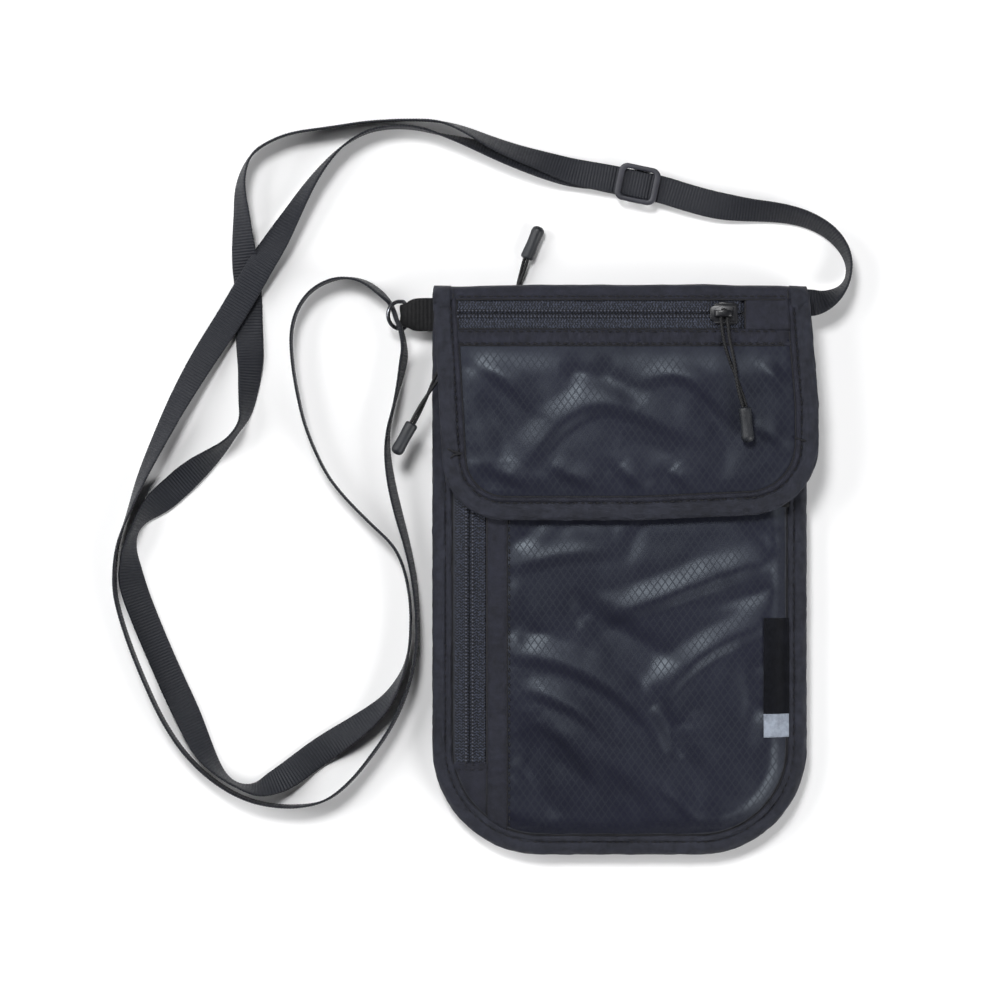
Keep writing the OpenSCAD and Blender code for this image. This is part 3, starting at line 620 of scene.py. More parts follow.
SECOND = [(-75.9, 74, 5, 76), (-77.5, 66, 5, 84), (-79.5, 57.5, 5, 90), (-81.5, 48.5, 5, 86),
          (-81.5, 39.5, 5, 80), (-80, 29.5, 5, 76), (-77.5, 19, 5, 76), (-74.5, 8, 5, 80), (-72.3, -3, 5, 82),
          (-71.2, -14.5, 5, 85), (-71.2, -26, 5, 86), (-73, -37, 5, 90), (-76.5, -47, 5, 86),
          (-81, -56, 5, 86), (-87.5, -65.5, 5, 86), (-95, -74.5, 5, 86), (-103.5, -81, 5, 86),
          (-113.5, -83, 5, 90), (-123, -82.5, 5, 90), (-131, -80.5, 5, 90), (-139.5, -76.2, 5, 90),
          (-148, -69.5, 5, 90), (-155, -61.5, 5, 90), (-161, -52, 5, 90), (-166, -41.5, 5, 90),
          (-171, -29.5, 5, 90), (-175, -18, 5, 90), (-177.5, -7.5, 5, 90), (-177.5, 2, 5, 90),
          (-176, 11, 5, 88), (-172.5, 21, 5, 80), (-168, 33, 4.7, 66), (-161.5, 47, 4.4, 52),
          (-155, 60, 3.6, 38), (-147, 74, 2.6, 20), (-138, 88, 2.4, 5), (-131, 99.5, 3.4, 2),
          (-126, 108, 4.4, 8), (-120.5, 116.5, 4.8, 25), (-115.5, 125, 4.6, 46), (-109.5, 135, 4.7, 64),
          (-104, 142.5, 5, 76), (-97.5, 149.3, 5, 84), (-89, 154.4, 5, 88), (-79.5, 156.2, 5, 90),
          (-70.5, 155.6, 5, 90), (-62.5, 153.4, 5, 84), (-54, 151, 4.9, 70), (-45.5, 148, 4.7, 58),
          (-37, 145, 4.3, 48), (-28, 142.3, 3.6, 36), (-17.5, 140, 2.7, 14), (-9.7, 139.3, 2.25, 0)]


def webbing(rows, step, sigma):
    """Flat webbing through [x, y, z, roll, width] rows: what sweep() takes."""
    p = soften(resample(spline(rows, 12), step), sigma / step)
    b = unit(leftward(tangents(p[:, :3])))
    r = np.radians(p[:, 3])[:, None]
    up = all_z(1)
    wide, high = np.cos(r) * b - np.sin(r) * up, np.cos(r) * up + np.sin(r) * b
    run = np.arange(len(p)) * step
    half_w = p[:, 4] / 2
    half_t = (T + (W - p[:, 4]) * 0.12) / 2 - 0.05 + 0.055 * np.cos(2 * np.pi * run / RIB)
    k = [(-1, 0), (-0.97, -0.75), (-0.9, -1), (-0.45, -0.92), (0, -0.9), (0.45, -0.92), (0.9, -1),
         (0.97, -0.75), (1, 0), (0.97, 0.75), (0.9, 1), (0.45, 0.92), (0, 0.9), (-0.45, 0.92), (-0.9, 1),
         (-0.97, 0.75)]
    sec = np.array(k)[None] * np.stack([half_w, half_t], 1)[:, None, :]
    return p[:, :3], wide, high, sec


# the strap is drawn as one run and split behind the adjuster, so that its last stretch is an object of its own,
# riding no body
strap = webbing([(*r, W) for r in LEAD + FIRST] + THROUGH + [(*r, W) for r in SECOND], RIB / 3, 2.2)
line = strap[0]
half_way = len(line) // 2
split_at = half_way + int(np.argmin(np.hypot(*(line[half_way:, :2] - (-68.0, 155.0)).T)))
strap_out = make("neck_strap_webbing", sweep(*[q[:split_at + 1] for q in strap]), "webbing", "pouch", "neck_strap")
v, f, u = sweep(*[q[split_at:] for q in strap])
strap_return = make("neck_strap_return", (v, f, u + [split_at * RIB / 3, 0]), "webbing")
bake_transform(strap_return)

floor = bpy.data.meshes.new("floor")
floor.from_pydata([(x, y, -0.0002) for x, y in ((-3, -3), (3, -3), (3, 3), (-3, 3))], [], [(0, 1, 2, 3)])
pale = Nodes("pale_floor", 0.9, spec=0.1)
pale.colour(pale.mix(pale.ramp(pale.noise(3, 2), 0.4, 0.6), (0.945, 0.945, 0.95), (0.955, 0.955, 0.96)))
floor.materials.append(pale.m)
ground = bpy.data.objects.new("floor", floor)
scene.collection.objects.link(ground)


# ------------------------------------------------------------------ outlines and surfaces of the pouch
BODY = [(-65.8, 160, 3), (-65.8, -99.8, 38), (65.8, -99.8, 38), (65.8, 160, 3)]
FLAP = [(-69.0, 160, 3), (-61, 17.8, 22), (7, 17.8, 40), (69.2, 20.6, 25), (69.2, 58, 30), (60.8, 160, 3)]
HEM = 84.5  # height of the open pocket's edge
ZIP_X, ZIP_LOW, ZIP_Y, BACK_Y = -52.7, -67.5, 89.8, 80.0  # side zip, flap zip and back zip
PANEL_IN, FLAP_IN = 6.9, 7.8  # how far the panels' edges lie inside the outlines


def open_run(pts, y_top, step):
    """Outline from its upper left end, round the bottom, to its upper right end."""
    loop = rounded(pts, 0)
    i = int(np.argmax(np.where(loop[:, 0] < 0, loop[:, 1], -999)))
    keep = cut(np.roll(loop, -i, 0), y1=y_top)
    i = int(np.argmin(keep[:, 0] + np.where(keep[:, 1] > y_top - 1e-6, 0, 999)))
    return resample(np.roll(keep, -i, 0), step, 2)


def inset(run, d):
    return run + leftward(tangents(run))[:, :2] * d


body_run, flap_run = open_run(BODY, 97.4, 1.0), open_run(FLAP, 97.4, 1.0)
body_far, flap_far = open_run(BODY, 150, 2.0), open_run(FLAP, 150, 2.0)


def slack(loop, step, height, seed, room, shrink=-0.045):
    """Extra height of loosely sewn fabric inside a loop, from a short cloth simulation at ten times size."""
    lo, hi = loop.min(0), loop.max(0)
    nx, ny = int((hi[0] - lo[0]) / step) + 2, int((hi[1] - lo[1]) / step) + 2
    xs, ys = np.linspace(lo[0], hi[0], nx), np.linspace(lo[1], hi[1], ny)
    xy = np.array([(x, y) for y in ys for x in xs])
    inn = inside(xy, loop)
    z = height(xy) + 0.25 * rough_noise(xy, 9.0, seed)
    where = -np.ones(len(xy), int)
    where[inn] = np.arange(inn.sum())
    faces, used = [], np.zeros(inn.sum(), int)
    for j in range(ny - 1):
        for i in range(nx - 1):
            q = where[[j * nx + i, j * nx + i + 1, (j + 1) * nx + i + 1, (j + 1) * nx + i]]
            if min(q) >= 0:
                faces.append(tuple(int(k) for k in q))
                used[q] += 1
    mesh = bpy.data.meshes.new("slack")
    start = np.column_stack([xy, z])[inn]
    mesh.from_pydata([tuple(map(float, p * 0.01)) for p in start], [], faces)
    o = bpy.data.objects.new("slack", mesh)
    scene.collection.objects.link(o)
    pins = o.vertex_groups.new(name="sewn")
    pins.add([int(k) for k in np.where(used < 4)[0]], 1.0, "REPLACE")
    m = o.modifiers.new("cloth", "CLOTH")
    st = m.settings
    st.quality, st.mass, st.air_damping = 6, 0.2, 2.0
    st.tension_stiffness = st.compression_stiffness = 12
    st.shear_stiffness, st.bending_stiffness = 4, 0.6
    st.shrink_min, st.vertex_group_mass = shrink, "sewn"
    st.use_pressure, st.uniform_pressure_force = True, 0.25
    m.collision_settings.use_collision = False
    m.collision_settings.use_self_collision = False
    st.effector_weights.gravity = 0
    for f in range(1, 21):
        scene.frame_set(f)
    e = o.evaluated_get(bpy.context.evaluated_depsgraph_get())
    co = np.array([v.co for v in e.data.vertices]) * 100
    lift = np.zeros(len(xy))
    lift[inn] = np.clip(co[:, 2] - start[:, 2], -room, room) + (start[:, 2] - height(xy[inn]))
    scene.frame_set(1)
    bpy.data.objects.remove(o)
    grid = lift.reshape(ny, nx)
    for _ in range(2):
        pad = np.pad(grid, 1, mode="edge")
        grid = (pad[1:-1, 1:-1] * 4 + pad[:-2, 1:-1] + pad[2:, 1:-1] + pad[1:-1, :-2] + pad[1:-1, 2:]) / 8

    def at(q):
        u = np.clip((q[:, 0] - lo[0]) / (hi[0] - lo[0]) * (nx - 1), 0, nx - 1.001)
        v = np.clip((q[:, 1] - lo[1]) / (hi[1] - lo[1]) * (ny - 1), 0, ny - 1.001)
        i, j = u.astype(int), v.astype(int)
        a, b = step01(u - i), step01(v - j)
        return (grid[j, i] * (1 - a) * (1 - b) + grid[j, i + 1] * a * (1 - b) + grid[j + 1, i] * (1 - a) * b
                + grid[j + 1, i + 1] * a * b)
    return at


# creases of the pouch front and of the flap: line, height, half width
FRONT_FOLDS = [([(-36, -42), (-18, -55), (2, -72), (18, -90)], 1.35, 12.0),
               ([(-12, -18), (8, -12), (32, -3), (58, 6)], 1.1, 5.0),
               ([(14, -45), (28, -30), (52, -18)], 0.9, 4.5), ([(-36, 2), (-18, 6.5), (-2, 7)], 0.7, 4.0),
               ([(-37, -29), (-18, -33), (0, -43), (11, -54), (15, -64)], 1.2, 4.5),
               ([(-33, -41), (-16, -48), (-4, -58)], 0.8, 3.5),
               ([(-30, -52), (-18, -60), (-10, -72)], 0.7, 3.5),
               ([(14, -76), (22, -82), (28, -90)], 0.6, 3.5), ([(20, -54), (32, -66), (34, -84)], 0.9, 8.0),
               ([(12, -46), (17, -54), (21, -66)], -0.9, 3.2),
               ([(-36, -56), (-30, -74), (-20, -90)], -0.9, 4.5),
               ([(-20, -12), (4, -22), (20, -34)], -0.7, 4.5), ([(30, -12), (46, -8), (58, -4)], -0.6, 3.5),
               ([(-8, -70), (6, -80), (10, -92)], -0.6, 4.0), ([(40, -26), (46, -44), (44, -62)], -0.6, 4.0)]
FLAP_FOLDS = [([(-56, 77), (-44, 70), (-30, 57)], 0.55, 4.5),
              ([(-34, 37), (-19, 53), (-2, 58), (26, 46)], 0.75, 5.0),
              ([(8, 66), (22, 68), (41, 52)], 0.6, 4.0), ([(48, 74), (55, 66), (61, 58)], 0.5, 3.5),
              ([(-44, 36), (-35, 31), (-26, 28)], 0.45, 3.5), ([(-24, 37), (-15, 32), (-7, 29)], 0.5, 3.5),
              ([(-1, 37), (5, 32), (12, 28)], 0.45, 3.5), ([(17, 36), (22, 31), (27, 28)], 0.4, 3.0),
              ([(46, 51), (54, 47), (62, 43)], 0.45, 3.5), ([(-50, 62), (-42, 50), (-40, 38)], -0.4, 4.0),
              ([(-22, 70), (-6, 68), (8, 58)], -0.45, 4.0), ([(28, 62), (36, 46), (36, 32)], -0.5, 4.0),
              ([(0, 46), (14, 42), (20, 36)], -0.35, 3.5)]


def front_base(xy):
    d = away(xy, body_far)
    dome = np.sin(np.pi / 2 * np.clip((d - 6.9) / 6.6, 0, 1))
    z = 9.15 + 3.05 * dome
    free = step01((14 - xy[:, 1]) / 14) * step01((d - 8) / 9) * step01((xy[:, 0] + 46) / 6)
    z += free * (0.35 + 0.35 * rough_noise(xy, 26, 3.1))
    for line, high, wide in FRONT_FOLDS:
        z += 1.55 * fold(xy, line, high, wide) * free
    return z + 0.12 * rough_noise(xy, 7, 1.7) * step01((d - 8) / 5)


def flap_base(xy):
    d = away(xy, flap_far)
    z = 17.3 + 0.15 * step01((d - 8) / 2)
    free = step01((d - 8) / 8) * step01((79 - xy[:, 1]) / 12)
    z += free * (0.35 + 0.25 * rough_noise(xy, 22, 8.2))
    for line, high, wide in FLAP_FOLDS:
        z += 1.7 * fold(xy, line, high, wide) * free
    return z + 0.08 * rough_noise(xy, 6, 5.5)


front_loop = outline(BODY, PANEL_IN, 1.2, x0=-39.8, y1=HEM)
flap_loop = outline(FLAP, FLAP_IN, 1.2, y1=80.7)
front_slack = slack(cut(front_loop, y1=22), 2.0, front_base, 2.0, room=0.45, shrink=-0.05)
flap_slack = slack(flap_loop, 2.0, flap_base, 4.0, room=0.35)


def front_z(xy):
    free = step01((20 - xy[:, 1]) / 8) * step01((xy[:, 0] + 39.8) / 3)
    return front_base(xy) + front_slack(xy) * free


def flap_z(xy):
    z = flap_base(xy) + flap_slack(xy) * step01((77 - xy[:, 1]) / 9)
    over = z - (18.3 + 1.0 * step01((np.abs(xy[:, 0] - 40) - 6) / 7))
    return z - np.where(over > 0, over * over / (over + 1.0), 0)


def raised(surface, lift):
    return lambda xy: surface(xy) + lift


def ring_points(run, *ds):
    return np.concatenate([inset(run, d) for d in ds])


def pucker(xy, axis, amp, scale, seed):
    """Small gathers beside a seam that runs along axis 0 or 1."""
    q = xy.copy()
    q[:, 1 - axis] *= 0.25
    return amp * rough_noise(q, scale, seed)


def on_surface(line, surface):
    return np.column_stack([line, surface(line)])


def at_height(line, z):
    return np.column_stack([line, z + 0 * line[:, 0]])


def laid(surface, *ends):
    """Straight lines between pairs of points, laid on a surface."""
    return [on_surface(resample(np.array(pair, float), 1.5, 2), surface) for pair in ends]


def shade_strip(line3, wide=0.30, high=0.16):
    """Dark strip of painted shade along an (n, 3) line, standing in for the shadow in a needle line pressed into
    the cloth.
    """
    c = resample(line3, 1.0)
    c[:, 2] -= 0.02
    return sweep(c, *level_frame(c), ellipse(wide, high, 8))


# object of dark strips of painted shade along seam grooves, slits and pleat creases
def painted_shade_strips(name, lines, body, **kw):
    make(name, join(*[shade_strip(r, **kw) for r in lines]), "dark_thread_and_groove_shade", body)


def seam(name, lines, body, lift=0.0, kind="dark_thread_and_groove_shade", **kw):
    """Thread dashes along one or more lines that lie on a surface."""
    make(name, join(*[stitches(r, lift, **kw) for r in lines]), kind, body)


def band(name, run, section, kind, body, amp, seed, *nodes, drop=None):
    """Sewn strip that follows an outline. section is (inward, z) points, anticlockwise seen along the run."""
    sec = np.array(section, float)
    n, k = len(run), len(sec)
    waves = ((1.0, 4.5, 0.35, 0), (0.6, 1.7, 0.2, 9))  # size, length in mm, change from row to row, seed
    wob = np.array([[sum(a * noise.noise(Vector((i / b, j * c, seed + s))) for a, b, c, s in waves)
                     for j in range(k)] for i in range(n)])
    all_sec = np.repeat(sec[None], n, 0)
    all_sec[:, :, 1] += amp * wob
    all_sec[:, :, 0] += 0.35 * amp * np.roll(wob, 3, 1)
    if drop is not None:
        all_sec[:, :, 1] += drop(run)[:, None]
    make(name, sweep(at_height(run, 0.0), leftward(tangents(run)), all_z(n), all_sec), kind, body, *nodes)


def shell(grid, thick, flip=False):
    """Closed thin surface from a (rows, cols, 3) grid of points; UV in mm along the grid."""
    g = np.asarray(grid, float)
    ny, nx = g.shape[:2]
    nrm = unit(np.cross(np.gradient(g, axis=1), np.gradient(g, axis=0))) * (-1 if flip else 1)
    top, low = (g + nrm * thick / 2).reshape(-1, 3), (g - nrm * thick / 2).reshape(-1, 3)
    u = np.concatenate([np.zeros((ny, 1)), np.cumsum(np.linalg.norm(np.diff(g, axis=1), axis=2), 1)], 1)
    v = np.concatenate([np.zeros((1, nx)), np.cumsum(np.linalg.norm(np.diff(g, axis=0), axis=2), 0)], 0)
    uv = np.stack([u.ravel(), v.ravel()], 1)
    faces = grid_faces(ny, nx)
    if flip:
        faces = [f[::-1] for f in faces]
    return np.concatenate([top, low]), faces, np.concatenate([uv, uv])


# ------------------------------------------------------------------ front of the pouch
EDGE = [(7.05, 8.6), (6.85, 9.45), (6.2, 9.85), (5.5, 9.7), (5.0, 9.2), (4.65, 8.7), (4.3, 9.0), (3.2, 9.0),
        (1.8, 8.6), (0.7, 7.9), (0.1, 7.0), (0.0, 6.1), (0.1, 5.2), (0.8, 4.3), (2.2, 3.6), (4.0, 3.3),
        (4.65, 3.5), (5.3, 3.2), (6.3, 3.4), (6.9, 3.9), (7.0, 6.3)]
band("body_binding_fabric", body_run, smooth_loop(EDGE, 2), "bind", "pouch", 0.5, 1.0, "body_binding")
seam("body_binding_stitch", [at_height(inset(body_run, 4.65), 8.75)], "pouch", pitch=2.6, length=2.0,
     radius=0.3)
low_run = open_run(BODY, HEM, 1.0)
WALL = [(7.3, 3.6), (7.3, 9.2), (6.5, 9.2), (6.5, 3.6)]
band("inner_wall_lining", open_run(BODY, 93, 1.5), WALL, "lining", "pouch", 0.1, 2.0, "side_wall")

front = cloth(front_loop, 1.25, front_z, edge_step=1.0, extra=ring_points(low_run, 7.5, 8.2, 9.0, 10.0))
make("front_ripstop", front, "ripstop", "pouch", "front_panel")
# painted shade: dark strip in the seam groove at the ripstop's edge
painted_shade_strips("front_edge_seam_shade", [on_surface(inset(low_run, 7.15), front_z)], "pouch", wide=0.34, high=0.3)


PLACKET = (-46.5, -39.4)  # left and right edge of the strip between the side zip and the ripstop


def placket_z(xy):
    edge = np.minimum(xy[:, 0] - PLACKET[0], PLACKET[1] - xy[:, 0])
    return front_z(xy) + 0.1 + 0.55 * step01(edge / 0.9) + pucker(xy, 1, 0.7, 2.6, 6.0) * step01(edge / 1.5)


FRONT_LOW = -91.5  # lower end of the seams beside the side zip
placket = cloth(outline(BODY, PANEL_IN, 1.0, x0=PLACKET[0], x1=PLACKET[1], y1=HEM), 0.8, placket_z, thick=0.7)
make("side_placket_fabric", placket, "plain", "pouch", "side_placket")
seam("side_placket_stitch", laid(front_z, ((-38.75, 84), (-38.75, FRONT_LOW))), "pouch", 0.02, radius=0.26,
     length=2.1)
# painted shade: dark strips in the seam grooves either side of the placket
painted_shade_strips("side_placket_seam_shade", laid(raised(front_z, 0.12), ((-39.6, 84), (-39.6, FRONT_LOW)))
       + laid(raised(front_z, 0.1), ((-46.55, 84), (-46.55, -86))), "pouch", wide=0.34)


def side_tape_z(xy):
    gap = np.abs(xy[:, 0] - ZIP_X)
    rows = 0.2 * np.exp(-((gap - 1.05) / 0.55) ** 2) - 0.35 * np.exp(-(gap / 0.5) ** 2)
    return front_z(xy) + rows - 0.3 * np.exp(-((xy[:, 0] + 46.9) / 0.9) ** 2) + pucker(xy, 1, 0.1, 2.0, 2.0)


def tape_pair(tag, axis, centre, lo, hi, edge_a, edge_b, surface, body, node_a, node_b):
    """Two zip tapes either side of a centre line that runs along the axis."""
    for side, a, b, node in (("a", edge_a, centre - 0.14, node_a), ("b", centre + 0.14, edge_b, node_b)):
        v, f, u = patch(*((lo, hi, a, b) if axis == 0 else (a, b, lo, hi)), 0.7, surface, 0.4)
        make(f"{tag}_tape_{side}", (v, f, u[:, ::-1] if axis else u), "tape", body, node)


def zip_rows(tag, start, end, far, apart, surface, body):
    """Dark and light stitches over both coils from start to end, and a dark strip of painted shade in the gap
    between the coils up to far.
    """
    start, end, far = np.array(start, float), np.array(end, float), np.array(far, float)
    way = unit(end - start)
    for name, first, length, radius, kind in (("stitch", 0, 0.66, 0.36, "dark_thread_and_groove_shade"),
                                              ("knots", 0.64, 0.6, 0.34, "thread")):
        lines = laid(surface, *[(start + way * first + d, end + d)
                                for d in (-apart * abs(way[::-1]), apart * abs(way[::-1]))])
        seam(f"{tag}_zip_{name}", lines, body, 0.1, kind, pitch=1.28, length=length, radius=radius)
    painted_shade_strips(f"{tag}_zip_gap_shade", laid(raised(surface, -0.1), (start, far)), body, wide=0.16, high=0.1)


tape_pair("side_zip", 1, ZIP_X, ZIP_LOW, HEM - 0.6, -58.8, -46.7, side_tape_z, "pouch", "side_tape_out",
          "side_tape_in")
zip_rows("side", (ZIP_X, HEM - 1), (ZIP_X, ZIP_LOW), (ZIP_X, ZIP_LOW), 1.15, side_tape_z, "pouch")
seam("side_tape_stitch", laid(side_tape_z, ((-49.1, HEM - 1), (-49.1, ZIP_LOW))), "pouch", pitch=2.4,
     length=0.8, radius=0.22)


def plain_z(xy):
    return front_z(xy) + 0.1 + 0.45 * np.exp(-((xy[:, 1] + 68.6) / 1.3) ** 2) + pucker(xy, 0, 0.12, 3.0, 1.0)


corner = cloth(outline(BODY, PANEL_IN, 1.0, x1=-46.6, y1=ZIP_LOW + 0.5), 0.9, plain_z, thick=0.6)
make("side_plain_fabric", corner, "plain", "pouch", "side_plain")
seam("side_plain_stitch", laid(plain_z, *[((-57.6, y), (-47, y)) for y in (-67.9, -69.6)]), "pouch")

hem_x = np.linspace(-58.2, 58.2, 118)
hem_c = np.column_stack([hem_x, 83.9 + 0.12 * np.sin(hem_x / 5), np.full(118, 11.15)])
hem_c[:, 2] -= 1.9 * (1 - np.sin(np.pi / 2 * np.clip((58.6 - np.abs(hem_x)) / 6.4, 0, 1)))
make("pocket_hem_fabric", sweep(hem_c, all_y(118), all_z(118), ellipse(0.75, 1.15, 12, 0.75)), "bind",
     "pouch", "pocket_hem")
make("hook_strip", patch(-39, 57.5, 22.4, 30, 1.0, lambda q: front_z(q) + 0.9 + 0.05 * rough_noise(q, 1.6, 3),
                         0.9), "hook", "pouch", "hook_tape")


def label_z(xy):
    seam_side = step01((xy[:, 0] - 55.5) / 3.6)
    z = (front_z(xy) + 0.42) * (1 - seam_side) + seam_side * 10.2
    return z + 0.06 * rough_noise(xy, 4, 9) + 0.12 * np.exp(-((xy[:, 0] - 50.4) / 0.5) ** 2)


make("label_tab_fabric", patch(50.2, 59.3, -50, -16.5, 0.7, label_z, 0.5), "label", "pouch", "label_tab")
make("label_square_fabric", patch(50.2, 59.3, -58.2, -50, 0.6, raised(label_z, 0.02), 0.5), "grey", "pouch",
     "label_square")

# ------------------------------------------------------------------ inside
for name, low, amp, node, top, seed in (("inner_front_lining", 9.95, 0.12, "inner_front", HEM, 1.0),
                                        ("divider_lining", 5.15, 0.15, "back_divider", 97.6, 2.0)):
    make(name, cloth(outline(BODY, 7.4, 2.0, y1=top), 3.0, lambda q: low + amp * rough_noise(q, 18, seed),
                     thick=0.4), "lining", "pouch", node)


# ------------------------------------------------------------------ back
def back_z(xy):
    """Upper face of the back fabric; its outer face lies 0.6 below."""
    d = away(xy, body_far)
    z = 0.6 + 3.3 * (1 - np.sin(np.pi / 2 * np.clip((d - 5.8) / 7.5, 0, 1)))
    mid = step01((d - 12) / 14) * step01((72 - xy[:, 1]) / 12)
    bump = np.abs(rough_noise(xy * [1.0, 0.45], 15, 7.7))
    bump += 0.5 * np.abs(rough_noise(xy * [0.5, 1.0], 11, 2.7))
    return z + mid * 1.5 * np.clip(bump, 0, 1) + 0.5 * step01((xy[:, 1] - 71) / 2)


make("back_fabric", cloth(outline(BODY, 5.8, 1.2, y1=73.4), 1.8, back_z, edge_step=1.2, thick=0.6,
                          extra=ring_points(open_run(BODY, 73, 1.2), 6.6, 7.6, 8.8, 10.2)), "ripstop",
     "pouch", "back_panel")
seam("back_edge_stitch", [at_height(inset(body_run, 4.6), 3.25)], "pouch", pitch=2.5, length=1.8)
xs = np.linspace(-58.6, 58.6, 110)
step_path = [(72.2, 0.75), (73.2, 0.8), (73.9, 1.4), (74.1, 2.4), (74.6, 2.95), (75.6, 3.05)]
rows = [[(x, y + 0.1 * math.sin(x / 4), z) for x in xs] for y, z in spline(step_path, 3)]
make("back_step_fabric", shell(rows, 0.5), "plain", "pouch", "back_step")


def nearly_flat(z, seed):
    return lambda q: z + 0.1 * rough_noise(q, 5, seed)


windows = ((-58.6, -49.6, 75.0, 88.6), (49.6, 58.6, 75.0, 88.6), (-49.8, 49.8, 85.6, 88.6))
back_band = join(*[patch(*window, 1.2, nearly_flat(3.3, i + 1)) for i, window in enumerate(windows)])
make("back_band_fabric", back_band, "plain", "pouch", "back_band")
tape_pair("back_zip", 0, BACK_Y, -50, 50, 74.6, 86, nearly_flat(3.1, 4), "pouch", "back_tape_low",
          "back_tape_up")
back_rows = laid(lambda q: 2.62 + 0 * q[:, 0], *[((-50, BACK_Y + dy), (50, BACK_Y + dy)) for dy in (-1.5, 1.5)])
seam("back_zip_stitch", back_rows, "pouch", pitch=1.25, length=0.85, radius=0.16)

# ------------------------------------------------------------------ top fold: one sheet from back to flap
fold_path = [(87.4, 2.95), (91, 2.95), (95, 3.0), (97.4, 3.3), (98.7, 4.5), (99.05, 6.6), (99.1, 9.0),
             (99.1, 11.6), (98.95, 14.2), (98.4, 16.2), (97.3, 17.3), (95.9, 17.7), (94.7, 17.55)]
fold_yz = resample(spline(fold_path, 6), 0.55, 2)
HALF = 65.3  # half the fold's width
cols = np.linspace(-HALF, HALF, 132)
grid = np.zeros((len(fold_yz), len(cols), 3))
for j, (y, z) in enumerate(fold_yz):
    for i, x in enumerate(cols):
        end = step01((HALF - abs(x)) / 3.0)
        w = 0.22 * noise.noise(Vector((x / 7, y / 2.2 + z / 3.5, 4.4)))
        g = step01((z - 13) / 4)
        crown = 0.9 * (1 - (x / HALF) ** 2) + 0.5 * noise.noise(Vector((x / 16, 0.3, 2.2)))
        crown *= step01((y - 95.5) / 3)
        grid[j, i] = (x * (1 - 0.004 * (1 - g)),
                      y - 0.9 * (1 - end) ** 2 * g + crown * step01((z - 7) / 8)
                      + w * (0.6 if 4 < z < 16 else 0.1),
                      z - 0.35 * (1 - end) * g + 2.0 * w * (1.0 if z > 16 else 0.3))
top_fold = make("top_fold_fabric", shell(grid, 0.6, flip=True), "plain", None, "spine_low", "flap_spine",
                "flap_band")
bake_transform(top_fold)
over = [j for j, (y, z) in enumerate(fold_yz) if z > 15.0]


def band_line(y):
    """Line along the top fold's upper face, between the side bindings, at height y."""
    j = int(np.argmin(np.where(fold_yz[:, 1] > 17, np.abs(fold_yz[:, 0] - y), 99)))
    return np.array([grid[j, i] + [0, 0, 0.3] for i, x in enumerate(cols) if abs(x) < 58])


turned = [j for j, (y, z) in enumerate(fold_yz) if z > 12.5]
for side, sign in (("left", -1), ("right", 1)):
    ids = [i for i, x in enumerate(cols) if sign * x > 58.6]
    rows = []
    for j in turned:
        g = step01((fold_yz[j][1] - 13) / 4)
        rows.append([grid[j, i] + [0, 0.32 * (1 - g), 0.32 * g] for i in ids])
    for y, z in ((93.6, 17.95), (92.4, 17.7), (91.2, 17.0)):
        rows.append([(cols[i], y, z - 1.5 * (1 - step01((HALF - abs(cols[i])) / 3))) for i in ids])
    make(f"flap_binding_top_{side}", shell(rows, 0.5, flip=True), "bind", "flap")
# painted shade: dark strips in the seam grooves at the top fold's ends
painted_shade_strips("top_fold_seam_shade", [grid[over, int(np.argmin(abs(cols - x)))] + [0, 0, 0.3] for x in (-58.2, 58.2)],
       "flap")


# ------------------------------------------------------------------ flap
def under_fold(run):
    """How far the flap's edge is pressed down below the top fold."""
    return -0.55 * step01((run[:, 1] - 92.5) / 3.0)


FLAP_EDGE = [(6.9, 17.2), (6.0, 17.3), (5.2, 17.85), (4.2, 17.85), (2.8, 17.7), (1.3, 17.3), (0.3, 16.7),
             (0.0, 16.1), (0.3, 15.5), (1.3, 15.0), (2.8, 14.8), (5.4, 14.8), (6.8, 15.0), (7.0, 16.2)]
band("flap_binding_fabric", flap_run, smooth_loop(FLAP_EDGE, 3), "bind", "flap", 0.45, 5.0, "flap_binding",
     drop=under_fold)
FLAP_RIDGE = [(8.1, 17.2), (7.9, 18.0), (7.3, 18.35), (6.7, 18.1), (6.15, 17.3), (6.3, 16.6), (8.0, 16.6)]
band("flap_seam_ridge", flap_run, smooth_loop(FLAP_RIDGE, 3), "plain", "flap", 0.22, 6.0, drop=under_fold)
seam("flap_edge_stitch", [at_height(inset(open_run(FLAP, 93, 1.0), 6.0), 17.45)], "flap", length=2.0,
     radius=0.3)
# painted shade: dark strip in the seam groove inside the flap's binding
painted_shade_strips("flap_edge_seam_shade", [at_height(inset(open_run(FLAP, 94, 1.0), 8.15), 17.5)], "flap", wide=0.34,
       high=0.25)
make("flap_ripstop", cloth(flap_loop, 1.15, flap_z, edge_step=1.0,
                           extra=ring_points(open_run(FLAP, 80, 1.0), 8.4, 9.1, 10.0)), "ripstop", "flap",
     "flap_panel")


FACING = (78.5, 84.5)  # lower and upper edge of the strip below the flap's zip
FACING_X = 43.4  # left edge of the piece right of it


def facing_z(xy):
    edge = np.minimum(xy[:, 1] - FACING[0], FACING[1] - xy[:, 1])
    return 17.5 + 0.5 * step01(edge / 0.9) + pucker(xy, 0, 1.1, 2.6, 3.0) * step01(edge / 1.8)


def flap_tape_z(xy):
    gap = np.abs(xy[:, 1] - ZIP_Y)
    rows = 0.2 * np.exp(-((gap - 0.9) / 0.5) ** 2) - 0.35 * np.exp(-(gap / 0.45) ** 2)
    return 17.4 + rows + pucker(xy, 0, 0.14, 2.0, 4.0) - step01((xy[:, 0] - 40.9) / 1.2)


def right_z(xy):
    edge = xy[:, 0] - FACING_X
    return 17.35 + 0.6 * step01(edge / 0.8) + pucker(xy, 0, 0.6, 4.0, 7.0) * step01(edge / 2)


